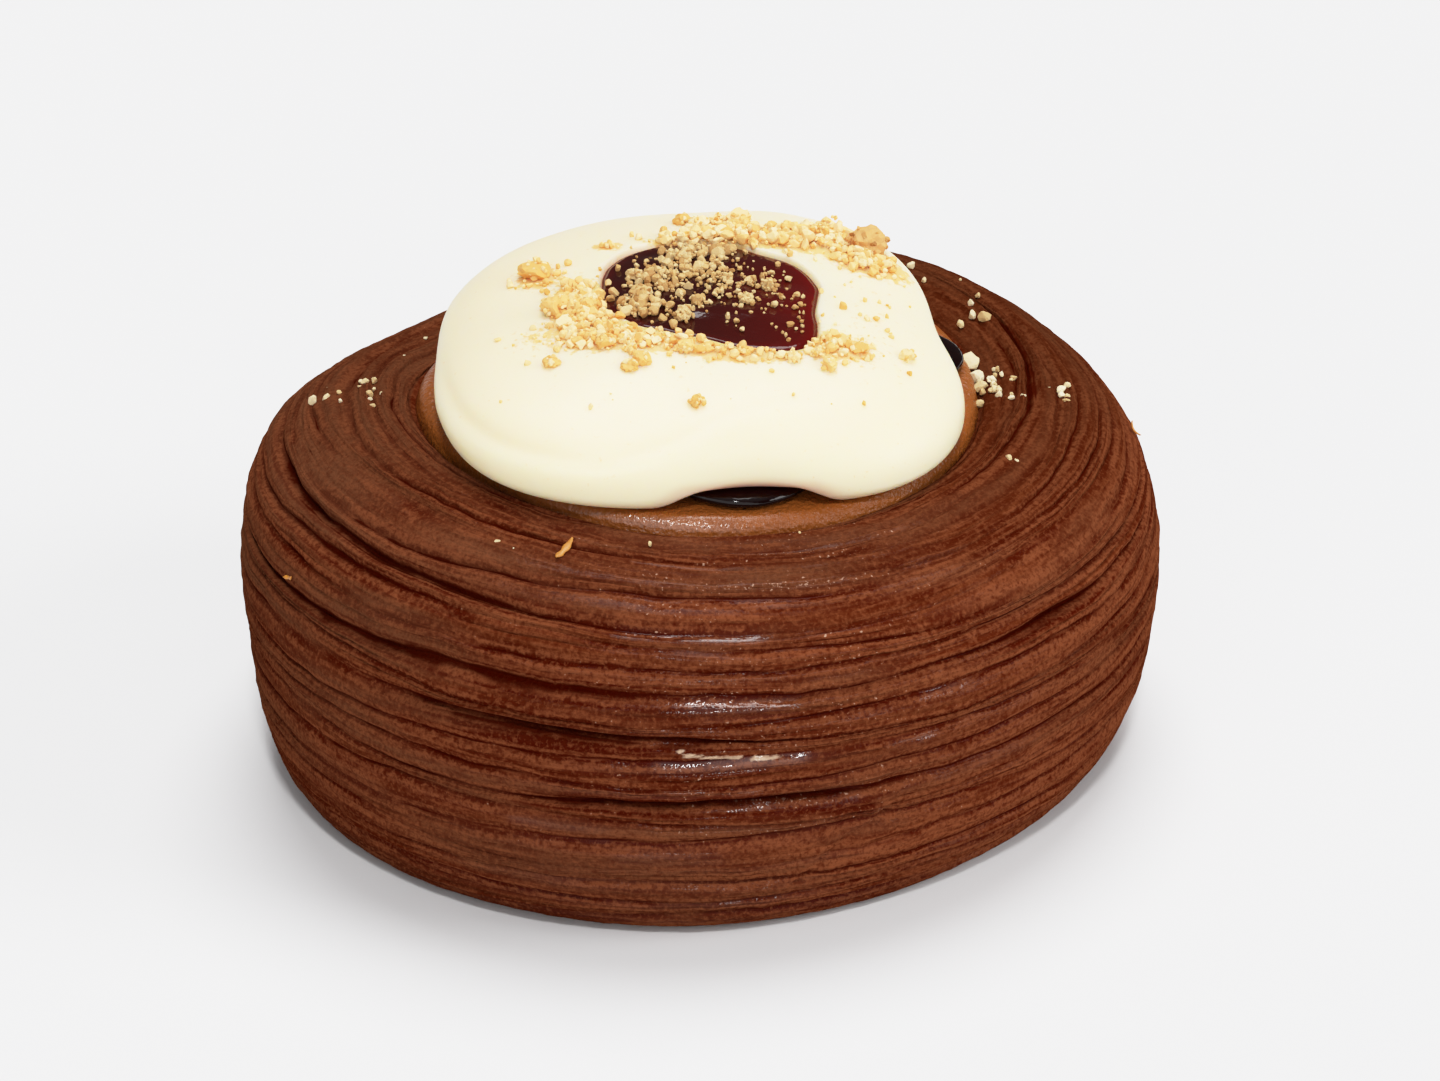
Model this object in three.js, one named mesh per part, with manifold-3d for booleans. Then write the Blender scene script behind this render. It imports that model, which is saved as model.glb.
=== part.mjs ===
// A chocolate danish: a drum of coiled laminated dough with a dish pressed into its top. The dish holds
// chocolate cream, a spoon of cherry jam, a dollop of white cream with more jam in its dimple, and crumble.
// Millimetres, +Z up, -Y towards the viewer. The origin is under the middle of the belly, on the table.
import * as THREE from "three";
import { mergeVertices } from "three/addons/utils/BufferGeometryUtils.js";
import Module from "manifold-3d";

const wasm = await Module();
wasm.setup();

const { degToRad } = THREE.MathUtils;

// Drum of dough, as it would stand if it were even
const FOOT_RADIUS = 44; // flat underside
const DRUM_RADIUS = 51.9; // at the belly, the widest place
const BELLY_HEIGHT = 24.4;
const CREST_RADIUS = 35.2; // highest ring of the top
const CREST_HEIGHT = 43.9;
const DISH_RADIUS = 32.1; // lip of the dish in the top
const LIP_HEIGHT = 43.1;
const FLOOR_HEIGHT = 38.5; // middle of the dish
const SHOULDER_POWER = 2.12; // 2 is an ellipse, more is squarer

// Slump of the baked drum, in plan and in height
const SHEAR = new THREE.Vector2(2.4, -0.82); // from the foot to the crest
const DISH_OFFSET = new THREE.Vector2(-0.6, -1.8); // from the crest to the dish
const OVAL = { share: 0.0055, along: degToRad(18) };
const LEAN = { rise: 1.9, towards: degToRad(127) }; // at the crest
const SADDLE = { rise: 1.05, along: degToRad(35) };
const DIP = { drop: 3.2, towards: degToRad(140), width: degToRad(28), from: 24, over: 11 };

// Bulges: where the wall stands out, or draws in, about a direction and a height
const BULGES = [
  { reach: 1.3, towards: degToRad(-90), width: degToRad(24), height: 0, over: 12 },
  { reach: 0.7, towards: degToRad(-6), width: degToRad(36), height: 15, over: 10 },
  { reach: -0.6, towards: degToRad(188), width: degToRad(36), height: 15, over: 11 },
  { reach: 1, towards: degToRad(178), width: degToRad(32), height: 38, over: 7 },
  { reach: -1.1, towards: degToRad(28), width: degToRad(24), height: 40, over: 7 },
];
const BULGE_FADE = 8; // from the crest outwards, until a bulge has its full reach

// Strands: the cut edges of the dough's layers, which run round the wall and over the crest
const STRANDS = 22;
const STRAND_BULGE = 0.5;
const GROOVE_DEPTH = 0.5;
const BULGE_AT = 0.42; // share of a strand's width, from its lower groove

// Gashes: stretches where two strands have parted in the oven, counted from the lowest groove
const GASHES = [
  { groove: 16, towards: degToRad(-148), width: degToRad(36), depth: 0.9 },
  { groove: 15, towards: degToRad(-147), width: degToRad(16), depth: 0.6 },
  { groove: 13, towards: degToRad(-128), width: degToRad(32), depth: 1.0 },
  { groove: 11, towards: degToRad(-108), width: degToRad(20), depth: 1.2 },
  { groove: 13, towards: degToRad(-39), width: degToRad(11), depth: 0.8 },
  { groove: 8, towards: degToRad(-80), width: degToRad(12), depth: 1.2 },
  { groove: 20, towards: degToRad(8), width: degToRad(30), depth: 0.9 },
];

// Fillings, from the dish upwards
const GAP = 0.3; // between neighbouring pieces
const CHOCOLATE_RADIUS = 31.5;
const CHOCOLATE_HEIGHT = 44.9;
const CHOCOLATE_LIP = 1.7; // rounding of its edge
const JAM_RADIUS = 24;
const JAM_THICKNESS = 1.6;
const JAM_EDGE = 0.05; // share of its radius that rounds off
const JAM_TONGUES = [
  { towards: degToRad(-79), reach: 5.6, width: degToRad(17) },
  { towards: degToRad(8), reach: 6.6, width: degToRad(15) },
];

// Dollop of white cream, about the middle of the dish
const DOLLOP_RIGHT = 30.8;
const DOLLOP_LEFT = 28.9;
const DOLLOP_FRONT = 30;
const DOLLOP_BACK = 30.6;
const DOLLOP_SQUARENESS = 2.45;
const DOLLOP_LOBES = [
  { reach: 3.1, lift: -0.3, towards: degToRad(-128), width: degToRad(28) },
  { reach: -1.7, lift: 2.2, towards: degToRad(-78), width: degToRad(16) },
  { reach: 0.6, lift: 0, towards: degToRad(-38), width: degToRad(20) },
  { reach: -3.3, lift: 1.2, towards: degToRad(29), width: degToRad(31) },
  { reach: -1.5, lift: 0, towards: degToRad(4), width: degToRad(16) },
];
const DOLLOP_TOP = 57;
const DOLLOP_WAIST = 48.3; // height of its widest place
const WAIST_LEAN = { rise: 1.9, towards: degToRad(110) };
const DOLLOP_DOME_POWER = 2.2;
const DOLLOP_UNDERCUT = 0.055; // share of its radius by which the underside is smaller
const DOLLOP_BED = [0.88, 0.905, 0.925]; // the farthest that the rings of its underside may reach
const JAM_MARGIN = 0.9; // past the jam, before its underside droops
const DROOP_OVER = 1.2;

// Pool of jam in the dollop's dimple
const POOL_CENTRE = new THREE.Vector2(1.7, 0.6);
const POOL_RADIUS = 12.3;
const POOL_LOBES = [
  { reach: 3.6, towards: degToRad(-52), width: degToRad(24) },
  { reach: -1.3, towards: degToRad(-102), width: degToRad(20) },
  { reach: 1.2, towards: degToRad(125), width: degToRad(36) },
  { reach: -1.2, towards: degToRad(55), width: degToRad(24) },
];
const POOL_DEPTH = 2.4;
const POOL_LEVEL = 0.5; // the jam's surface lies this far under the rim
const POOL_FILL = 0.93; // share of the dimple's width that the jam takes
const DIMPLE_RIM = 1.14; // where the dimple starts and where it is at its deepest, in pool radii
const DIMPLE_FOOT = 0.98;

// Crumble: lumps that stand out, and drifts that are thickest in their middle, the largest crumbs first
const LUMPS = [
  { at: [20.1, 13.6], size: 6 },
  { at: [-17.8, 6.2], size: 3.8 },
  { at: [5.4, 19.6], size: 3 },
  { at: [23.3, -10.1], size: 2.2 },
  { at: [0, -22.3], size: 2 },
  { at: [-7.2, -17.2], size: 2 },
  { at: [-15.7, -15.5], size: 1.9 },
];
const DRIFTS = [
  { name: "back_right", at: [15.6, 14.4], spread: [3.2, 2.2], largest: 3.4, crumbs: 7 },
  { name: "left", at: [-12.6, -4.0], spread: [2.4, 4.0], largest: 3.2, crumbs: 9 },
  { name: "back", at: [4.0, 17.6], spread: [3.4, 1.8], largest: 2.8, crumbs: 6 },
  { name: "front_left", at: [-6.5, -13.0], spread: [4.2, 1.4], largest: 2.4, crumbs: 7 },
  { name: "front_right", at: [15, -12.4], spread: [3, 1.6], largest: 2.3, crumbs: 6 },
  { name: "pool", at: [0.4, 0.6], spread: [5.2, 4.6], largest: 2.8, crumbs: 14 },
];
const POOL_DRIFT = "pool";
const CRUMB_SHRINK = 0.55; // the last crumb of a drift is this much smaller than its largest
const CRUMB_SUNK = 0.25; // share of a crumb's size below the surface that it lies on
const CRUMB_FLATNESS = 0.8;
const CRUMB_ROUGHNESS = 0.22;
const CRUMB_CLEARANCE = 0.7; // between a crumb and the edge of the pool
const CRUMB_REACH = 0.9; // share of the dollop's radius inside which crumbs lie

// Facets
const ROUND = 72;
const SOFT_ROUND = 48;
const EDGE_STEPS = 5;
const DOME_STEPS = 8;
const JAM_RINGS = [0.5, 0.88]; // shares of the jam's radius
const POOL_RING = 0.55; // share of the pool's radius

// A steady number from 0 to 1 for each pair of counting numbers.
function chance(a, b) {
  const wave = Math.sin(a * 12.9898 + b * 78.233) * 43758.5453;
  return wave - Math.floor(wave);
}

function clamp01(value) {
  return Math.min(1, Math.max(0, value));
}

function smooth(value) {
  const t = clamp01(value);
  return t * t * (3 - 2 * t);
}

function angleBetween(a, b) {
  return Math.abs(Math.atan2(Math.sin(a - b), Math.cos(a - b)));
}

// A soft bump round one direction, 1 in its middle.
function bumpTowards(angle, { towards, width }) {
  return Math.exp(-((angleBetween(angle, towards) / width) ** 2));
}

function polar(radius, angle) {
  return new THREE.Vector2(radius * Math.cos(angle), radius * Math.sin(angle));
}

// One ring of points, from a function of the angle.
function ringOf(count, pointAt) {
  return Array.from({ length: count }, (_, i) => pointAt((i / count) * 2 * Math.PI));
}

// A closed skin over a stack of rings, which run from the middle of the underside out, up and in again.
function skinOver(rings, bottom, top) {
  const count = rings[0].length;
  const points = [...rings.flat(), bottom, top];
  const bottomIndex = points.length - 2;
  const topIndex = points.length - 1;
  const last = (rings.length - 1) * count;
  const faces = [];
  for (let i = 0; i < count; i++) {
    const next = (i + 1) % count;
    faces.push(bottomIndex, next, i, topIndex, last + i, last + next);
    for (let base = 0; base < last; base += count) {
      const [a, b, c, d] = [base + i, base + next, base + count + next, base + count + i];
      faces.push(a, b, c, a, c, d);
    }
  }
  return new THREE.BufferGeometry().setFromPoints(points).setIndex(faces);
}

// Solids for joining, and back.
function solidFrom(geometry) {
  const bare = new THREE.BufferGeometry();
  bare.setAttribute("position", geometry.getAttribute("position"));
  bare.setIndex(geometry.index);
  const merged = mergeVertices(bare, 1e-4);
  return new wasm.Manifold(
    new wasm.Mesh({
      numProp: 3,
      vertProperties: new Float32Array(merged.getAttribute("position").array),
      triVerts: new Uint32Array(merged.index.array),
    }),
  );
}

function geometryFrom(solid) {
  const mesh = solid.getMesh();
  const geometry = new THREE.BufferGeometry();
  geometry.setAttribute("position", new THREE.BufferAttribute(mesh.vertProperties, 3));
  geometry.setIndex(new THREE.BufferAttribute(mesh.triVerts, 1));
  return geometry;
}

// Slump

// How far the slumped top stands above its even height, over a place in plan.
function rise(x, y) {
  const radius = Math.hypot(x, y);
  const angle = Math.atan2(y, x);
  const lean = LEAN.rise * (radius / CREST_RADIUS) * Math.cos(angle - LEAN.towards);
  const bend = SADDLE.rise * Math.min(1, (radius / DISH_RADIUS) ** 2) * Math.cos(2 * (angle - SADDLE.along));
  const dip = DIP.drop * smooth((radius - DIP.from) / DIP.over) * bumpTowards(angle, DIP);
  return lean + bend - dip;
}

// How far the wall stands out beyond the even drum.
function bulgeAt(radius, angle, height) {
  const onWall = smooth((radius - CREST_RADIUS) / BULGE_FADE);
  const reachOf = (bulge) => bulge.reach * Math.exp(-(((height - bulge.height) / bulge.over) ** 2));
  return BULGES.reduce((sum, bulge) => sum + onWall * reachOf(bulge) * bumpTowards(angle, bulge), 0);
}

// A point of the even drum, once the dough has slumped.
function slumped(radius, angle, height) {
  const share = Math.min(1, height / CREST_HEIGHT);
  const inward = smooth((CREST_RADIUS - radius) / (CREST_RADIUS - DISH_RADIUS));
  const oval = 1 + OVAL.share * Math.cos(2 * (angle - OVAL.along));
  const place = polar(oval * (radius + bulgeAt(radius, angle, height)), angle);
  place.addScaledVector(SHEAR, share - BELLY_HEIGHT / CREST_HEIGHT);
  place.addScaledVector(DISH_OFFSET, inward * share);
  return new THREE.Vector3(place.x, place.y, height + share * share * rise(place.x, place.y));
}

// Middle of the dish, which the fillings are built about.
const DISH_CENTRE = DISH_OFFSET.clone().addScaledVector(SHEAR, 1 - BELLY_HEIGHT / CREST_HEIGHT);

// A point of the fillings: a place about the middle of the dish, at an even height.
function seated(place, height) {
  const x = place.x + DISH_CENTRE.x;
  const y = place.y + DISH_CENTRE.y;
  return new THREE.Vector3(x, y, height + rise(x, y));
}

// Drum of dough

// A quarter of a squared ellipse, from its lowest or widest place on.
function quarter(centre, across, up, turn) {
  const power = 2 / SHOULDER_POWER;
  const cosine = Math.cos(turn);
  const sine = Math.sin(turn);
  return new THREE.Vector2(
    centre.x + across * Math.sign(cosine) * Math.abs(cosine) ** power,
    centre.y + up * Math.sign(sine) * Math.abs(sine) ** power,
  );
}

// The wall's profile, from the edge of the foot, over the belly and the crest, to the lip of the dish.
function wallProfile() {
  const steps = 60;
  const belly = new THREE.Vector2(FOOT_RADIUS, BELLY_HEIGHT);
  const shoulder = new THREE.Vector2(CREST_RADIUS, BELLY_HEIGHT);
  const lip = new THREE.Vector2(CREST_RADIUS, LIP_HEIGHT);
  const bends = [
    [belly, DRUM_RADIUS - FOOT_RADIUS, BELLY_HEIGHT, -Math.PI / 2],
    [shoulder, DRUM_RADIUS - CREST_RADIUS, CREST_HEIGHT - BELLY_HEIGHT, 0],
    [lip, CREST_RADIUS - DISH_RADIUS, CREST_HEIGHT - LIP_HEIGHT, Math.PI / 2],
  ];
  const points = bends.flatMap(([centre, across, up, start]) =>
    Array.from({ length: steps }, (_, i) => quarter(centre, across, up, start + ((i / steps) * Math.PI) / 2)),
  );
  points.push(new THREE.Vector2(DISH_RADIUS, LIP_HEIGHT));
  const path = new THREE.CurvePath();
  points.slice(1).forEach((point, i) => path.add(new THREE.LineCurve(points[i], point)));
  return path;
}

const WALL = wallProfile();

// How far a groove strays from its even place, in strand widths.
function wander(groove, angle) {
  if (groove === 0 || groove === STRANDS) return 0;
  const slow = 0.2 * Math.sin(2 * angle + 1.7 * groove);
  const middle = 0.15 * Math.sin(3 * angle + 2.9 * groove + 1);
  return slow + middle + 0.08 * Math.sin(5 * angle + 4.3 * groove);
}

// How deep a groove is cut, with the gashes along it.
function grooveDepth(groove, angle) {
  if (groove === 0) return 0;
  const gashes = GASHES.filter((gash) => gash.groove === groove);
  return gashes.reduce((depth, gash) => depth + gash.depth * bumpTowards(angle, gash), GROOVE_DEPTH);
}

// How far a strand stands out at an angle. The lowest lies flat on the table, and the last is the dish's lip.
function strandBulge(strand, angle) {
  if (strand === 0 || strand === STRANDS - 1) return 0;
  return STRAND_BULGE * (0.75 + 0.25 * Math.sin(2 * angle + 5.1 * strand));
}

// A point on the wall at a place counted in strands, pushed out by a relief.
function wallPoint(place, angle, relief) {
  const share = clamp01(place / STRANDS);
  const step = 0.004;
  const point = WALL.getPoint(share);
  const along = WALL.getPoint(clamp01(share + step)).sub(WALL.getPoint(clamp01(share - step))).normalize();
  return slumped(point.x + along.y * relief, angle, point.y - along.x * relief);
}

function dishHeight(radius) {
  return FLOOR_HEIGHT + (LIP_HEIGHT - FLOOR_HEIGHT) * (radius / DISH_RADIUS) ** 4;
}

function makeDough() {
  const rings = [];
  for (let strand = 0; strand < STRANDS; strand++) {
    const low = (angle) => strand + wander(strand, angle);
    const high = (angle) => strand + 1 + wander(strand + 1, angle);
    const full = (angle) => low(angle) + (high(angle) - low(angle)) * BULGE_AT;
    rings.push(ringOf(ROUND, (angle) => wallPoint(low(angle), angle, -grooveDepth(strand, angle))));
    rings.push(ringOf(ROUND, (angle) => wallPoint(full(angle), angle, strandBulge(strand, angle))));
  }
  for (const share of [1, 0.92, 0.6]) {
    const radius = DISH_RADIUS * share;
    rings.push(ringOf(ROUND, (angle) => slumped(radius, angle, dishHeight(radius))));
  }
  const foot = slumped(0, 0, 0);
  return skinOver(rings, foot, slumped(0, 0, FLOOR_HEIGHT));
}

// Chocolate cream that fills the dish

// Height of its top, which rounds off towards its edge.
function chocolateHeight(radius) {
  const past = clamp01((radius - CHOCOLATE_RADIUS) / CHOCOLATE_LIP + 1);
  return CHOCOLATE_HEIGHT - CHOCOLATE_LIP * (1 - Math.sqrt(1 - past * past));
}

function makeChocolateCream() {
  const rings = [0.6, 0.92, 0.985].map((share) => {
    const radius = CHOCOLATE_RADIUS * share;
    const onFloor = (angle) => slumped(radius, angle, dishHeight(radius));
    return ringOf(SOFT_ROUND, (angle) => onFloor(angle).add(new THREE.Vector3(0, 0, GAP)));
  });
  for (let step = 0; step <= EDGE_STEPS; step++) {
    const turn = ((step / EDGE_STEPS) * Math.PI) / 2;
    const radius = CHOCOLATE_RADIUS - CHOCOLATE_LIP * (1 - Math.cos(turn));
    rings.push(ringOf(SOFT_ROUND, (angle) => seated(polar(radius, angle), chocolateHeight(radius))));
  }
  for (const share of [1, ...JAM_RINGS.toReversed()]) {
    rings.push(ringOf(SOFT_ROUND, (angle) => seated(polar(JAM_RADIUS * share, angle), CHOCOLATE_HEIGHT)));
  }
  const floor = slumped(0, 0, FLOOR_HEIGHT).add(new THREE.Vector3(0, 0, GAP));
  return skinOver(rings, floor, seated(polar(0, 0), CHOCOLATE_HEIGHT));
}

// Jam between the two creams, which shows where its tongues reach past the dollop

function jamRadius(angle) {
  return JAM_TONGUES.reduce((reach, tongue) => reach + tongue.reach * bumpTowards(angle, tongue), JAM_RADIUS);
}

function makeJamLayer() {
  const at = (share, angle, lift) => {
    const radius = jamRadius(angle) * share;
    return seated(polar(radius, angle), chocolateHeight(radius) + GAP + lift);
  };
  const half = JAM_THICKNESS / 2;
  const rings = JAM_RINGS.map((share) => ringOf(SOFT_ROUND, (angle) => at(share, angle, 0)));
  for (let step = 0; step <= EDGE_STEPS; step++) {
    const turn = (step / EDGE_STEPS - 0.5) * Math.PI;
    const share = 1 - JAM_EDGE * (1 - Math.cos(turn));
    rings.push(ringOf(SOFT_ROUND, (angle) => at(share, angle, half + half * Math.sin(turn))));
  }
  for (const share of JAM_RINGS.toReversed()) {
    rings.push(ringOf(SOFT_ROUND, (angle) => at(share, angle, JAM_THICKNESS)));
  }
  return skinOver(rings, at(0, 0, 0), at(0, 0, JAM_THICKNESS));
}

// Dollop of white cream

function dollopRadius(angle) {
  const width = Math.cos(angle) < 0 ? DOLLOP_LEFT : DOLLOP_RIGHT;
  const depth = Math.sin(angle) < 0 ? DOLLOP_FRONT : DOLLOP_BACK;
  const across = Math.abs(Math.cos(angle) / width) ** DOLLOP_SQUARENESS;
  const along = Math.abs(Math.sin(angle) / depth) ** DOLLOP_SQUARENESS;
  const round = (across + along) ** (-1 / DOLLOP_SQUARENESS);
  return DOLLOP_LOBES.reduce((radius, lobe) => radius + lobe.reach * bumpTowards(angle, lobe), round);
}

function waistHeight(angle) {
  const even = DOLLOP_WAIST + WAIST_LEAN.rise * Math.cos(angle - WAIST_LEAN.towards);
  return DOLLOP_LOBES.reduce((height, lobe) => height + lobe.lift * bumpTowards(angle, lobe), even);
}

function poolRadius(angle) {
  return POOL_LOBES.reduce((radius, lobe) => radius + lobe.reach * bumpTowards(angle, lobe), POOL_RADIUS);
}

// A place in the pool or about it, where a share of 1 is the pool's edge.
function poolPlace(share, angle) {
  return polar(share * poolRadius(angle), angle).add(POOL_CENTRE);
}

// How far a place lies from the middle of the pool, where 1 is its edge.
function poolShare(place) {
  const from = place.clone().sub(POOL_CENTRE);
  return from.length() / poolRadius(from.angle());
}

// Height of the dollop's dome over a place, before the dimple is pressed in.
function domeHeight(place) {
  const angle = place.angle();
  const share = clamp01(place.length() / dollopRadius(angle));
  const waist = waistHeight(angle);
  return waist + (DOLLOP_TOP - waist) * (1 - share ** DOLLOP_DOME_POWER) ** (1 / DOLLOP_DOME_POWER);
}

function dollopHeight(place) {
  const pressed = smooth((DIMPLE_RIM - poolShare(place)) / (DIMPLE_RIM - DIMPLE_FOOT));
  return domeHeight(place) - POOL_DEPTH * pressed;
}

// The dollop's underside lies on the jam, and droops to the chocolate cream outside it.
function undersideHeight(radius, angle) {
  const overJam = smooth((jamRadius(angle) + JAM_MARGIN + DROOP_OVER - radius) / DROOP_OVER);
  return CHOCOLATE_HEIGHT + GAP + overJam * (JAM_THICKNESS + GAP);
}

function makeDollop() {
  const edge = (share, angle) => polar(dollopRadius(angle) * share, angle);
  const under = (share, angle) => undersideHeight(dollopRadius(angle) * share, angle);
  const onJam = (share, margin, limit) =>
    ringOf(SOFT_ROUND, (angle) => {
      const radius = Math.min(jamRadius(angle) * share + margin, dollopRadius(angle) * limit);
      return seated(polar(radius, angle), undersideHeight(radius, angle));
    });
  const rings = [
    ...JAM_RINGS.map((share) => onJam(share, 0, DOLLOP_BED[0])),
    onJam(1, JAM_MARGIN, DOLLOP_BED[1]),
    onJam(1, JAM_MARGIN + DROOP_OVER, DOLLOP_BED[2]),
  ];
  for (let step = 0; step < EDGE_STEPS; step++) {
    const turn = ((step / EDGE_STEPS) * Math.PI) / 2;
    const share = 1 - DOLLOP_UNDERCUT * (1 - Math.sin(turn));
    rings.push(
      ringOf(SOFT_ROUND, (angle) => {
        const low = under(share, angle);
        return seated(edge(share, angle), low + (waistHeight(angle) - low) * (1 - Math.cos(turn)));
      }),
    );
  }
  for (let step = 0; step < DOME_STEPS; step++) {
    const inward = (step / DOME_STEPS) ** 1.6;
    rings.push(
      ringOf(SOFT_ROUND, (angle) => {
        const place = edge(1, angle).lerp(poolPlace(DIMPLE_RIM, angle), inward);
        return seated(place, domeHeight(place));
      }),
    );
  }
  for (const share of [DIMPLE_RIM, (DIMPLE_RIM + DIMPLE_FOOT) / 2, DIMPLE_FOOT, POOL_FILL, POOL_RING]) {
    rings.push(
      ringOf(SOFT_ROUND, (angle) => {
        const place = poolPlace(share, angle);
        return seated(place, dollopHeight(place));
      }),
    );
  }
  const dimpleFloor = seated(POOL_CENTRE, dollopHeight(POOL_CENTRE));
  return skinOver(rings, seated(polar(0, 0), undersideHeight(0, 0)), dimpleFloor);
}

// Jam in the dimple

function poolLevel(place) {
  return domeHeight(place) - POOL_LEVEL;
}

function poolBed(place) {
  return dollopHeight(place) + GAP;
}

function makePool() {
  const ringAt = (share, heightAt) =>
    ringOf(SOFT_ROUND, (angle) => {
      const place = poolPlace(share, angle);
      return seated(place, heightAt(place));
    });
  const rings = [
    ringAt(POOL_RING, poolBed),
    ringAt(POOL_FILL, poolBed),
    ringAt(POOL_FILL, poolLevel),
    ringAt(POOL_RING, poolLevel),
  ];
  const bedMiddle = seated(POOL_CENTRE, poolBed(POOL_CENTRE));
  return skinOver(rings, bedMiddle, seated(POOL_CENTRE, poolLevel(POOL_CENTRE)));
}

// Crumble

// One rough crumb, wider than it is high.
function crumbAt(centre, size, seed) {
  const bare = new THREE.IcosahedronGeometry(size / 2, 0);
  bare.deleteAttribute("normal");
  bare.deleteAttribute("uv");
  const crumb = mergeVertices(bare, 1e-4);
  const position = crumb.getAttribute("position");
  const corner = new THREE.Vector3();
  for (let i = 0; i < position.count; i++) {
    const swell = 1 + CRUMB_ROUGHNESS * (2 * chance(seed, i) - 1);
    corner.fromBufferAttribute(position, i).multiplyScalar(swell);
    position.setXYZ(i, corner.x, corner.y, corner.z * CRUMB_FLATNESS);
  }
  crumb.rotateZ(2 * Math.PI * chance(seed, 99));
  crumb.translate(centre.x, centre.y, centre.z);
  return crumb;
}

// The crumbs of one drift: where each lies, and its size.
function crumbsOf(drift, order) {
  return Array.from({ length: drift.crumbs }, (_, i) => {
    const away = Math.sqrt(-2 * Math.log(1 - 0.95 * chance(order + 1, i + 1)));
    const turn = 2 * Math.PI * chance(order + 31, i + 7);
    const place = polar(away, turn).multiply(new THREE.Vector2(...drift.spread));
    return {
      place: place.add(new THREE.Vector2(...drift.at)),
      size: drift.largest * (1 - (CRUMB_SHRINK * i) / drift.crumbs),
    };
  });
}

// Every crumb of the crumble, on the pool or on the dollop about it.
function crumble(onPool) {
  const lumps = LUMPS.map(({ at, size }) => ({ place: new THREE.Vector2(...at), size }));
  const loose = DRIFTS.flatMap((drift, order) =>
    (drift.name === POOL_DRIFT) === onPool ? crumbsOf(drift, order) : [],
  );
  return [...(onPool ? [] : lumps), ...loose].filter((crumb) => liesWell(crumb, onPool));
}

// A crumb on the pool stays inside it, and every other one outside it and on the dollop.
function liesWell({ place, size }, onPool) {
  const margin = (size / 2 + CRUMB_CLEARANCE) / POOL_RADIUS;
  const share = poolShare(place);
  if (onPool) return share < POOL_FILL - margin;
  return share > POOL_FILL + margin && place.length() < CRUMB_REACH * dollopRadius(place.angle());
}

// A filling with its crumbs fused on.
function strewn(geometry, onPool, heightAt) {
  return geometryFrom(
    crumble(onPool).reduce((solid, { place, size }, seed) => {
      const lift = size * (CRUMB_FLATNESS / 2 - CRUMB_SUNK);
      return solid.add(solidFrom(crumbAt(seated(place, heightAt(place) + lift), size, seed)));
    }, solidFrom(geometry)),
  );
}

// The whole pastry

function piece(name, geometry, colour, roughness) {
  const material = new THREE.MeshStandardMaterial({ color: colour, roughness, metalness: 0 });
  geometry.computeVertexNormals();
  const mesh = new THREE.Mesh(geometry, material);
  mesh.name = name;
  return mesh;
}

const danish = new THREE.Group();
danish.name = "danish";
danish.add(piece("dough", makeDough(), "#68371f", 0.45));
danish.add(piece("chocolate_cream", makeChocolateCream(), "#8f5f45", 0.5));
danish.add(piece("jam_layer", makeJamLayer(), "#2a0f0e", 0.1));
danish.add(piece("white_cream", strewn(makeDollop(), false, dollopHeight), "#f7efdc", 0.5));
danish.add(piece("jam_pool", strewn(makePool(), true, poolLevel), "#571a18", 0.12));

export default danish;
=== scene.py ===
"""Looks of a chocolate danish: laminated dough, two creams, cherry jam and crumble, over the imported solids.

Shapes are worked out in millimetres in the frame of the solids: +Z up, -Y towards the viewer, the origin on
the table under the middle of the drum. Meshes turn to metres as they are made.
"""

import logging
import math
from dataclasses import dataclass, field
from enum import Enum
from functools import cached_property, lru_cache
from typing import ClassVar

import bmesh
import bpy
import numpy as np
from mathutils import Matrix, Vector


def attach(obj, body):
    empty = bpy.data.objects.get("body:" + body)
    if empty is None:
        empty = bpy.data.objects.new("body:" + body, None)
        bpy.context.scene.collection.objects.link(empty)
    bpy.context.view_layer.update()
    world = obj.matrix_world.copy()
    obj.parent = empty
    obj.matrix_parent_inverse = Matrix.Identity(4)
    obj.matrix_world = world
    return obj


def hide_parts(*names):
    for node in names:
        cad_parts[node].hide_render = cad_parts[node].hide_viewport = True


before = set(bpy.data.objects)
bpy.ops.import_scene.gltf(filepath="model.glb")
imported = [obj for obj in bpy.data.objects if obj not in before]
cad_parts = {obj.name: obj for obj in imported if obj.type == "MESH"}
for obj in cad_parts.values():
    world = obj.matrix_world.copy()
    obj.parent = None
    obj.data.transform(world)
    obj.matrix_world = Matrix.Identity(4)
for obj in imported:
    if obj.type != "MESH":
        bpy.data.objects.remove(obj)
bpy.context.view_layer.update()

LOG = logging.getLogger("danish")
BODY = "root"
MM = 0.001  # metres in a millimetre
TURN = 2 * math.pi
GAP = 0.3  # between neighbouring solids, in mm
ALL_ROUND = math.inf  # width of a swell that is the same in every direction
MIX_FACTOR, MIX_A, MIX_B, MIX_RESULT = 0, 6, 7, 2  # the Mix node's sockets for colours

Array = np.ndarray
Pair = tuple[float, float]


class Slot(Enum):
    """The record's finishes."""

    DOUGH = "chocolate_dough"
    CHOCOLATE = "chocolate_cream"
    JAM = "cherry_jam"
    CREAM = "white_cream"


class Bed(Enum):
    """What a crumb lies on."""

    CREAM = "cream"
    JAM = "jam"
    DOUGH = "dough"


def linear(colour: str) -> tuple[float, float, float, float]:
    """Turn an sRGB hex colour into linear light.

    Args:
        colour: A hash sign and six hex digits.

    Returns:
        Red, green, blue and a full alpha.
    """
    channels = [int(colour[i : i + 2], 16) / 255 for i in (1, 3, 5)]
    red, green, blue = (c / 12.92 if c <= 0.04045 else ((c + 0.055) / 1.055) ** 2.4 for c in channels)
    return (red, green, blue, 1.0)


def smooth(value: Array) -> Array:
    """Ease from 0 to 1, with level ends."""
    share = np.clip(value, 0, 1)
    return share * share * (3 - 2 * share)


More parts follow.
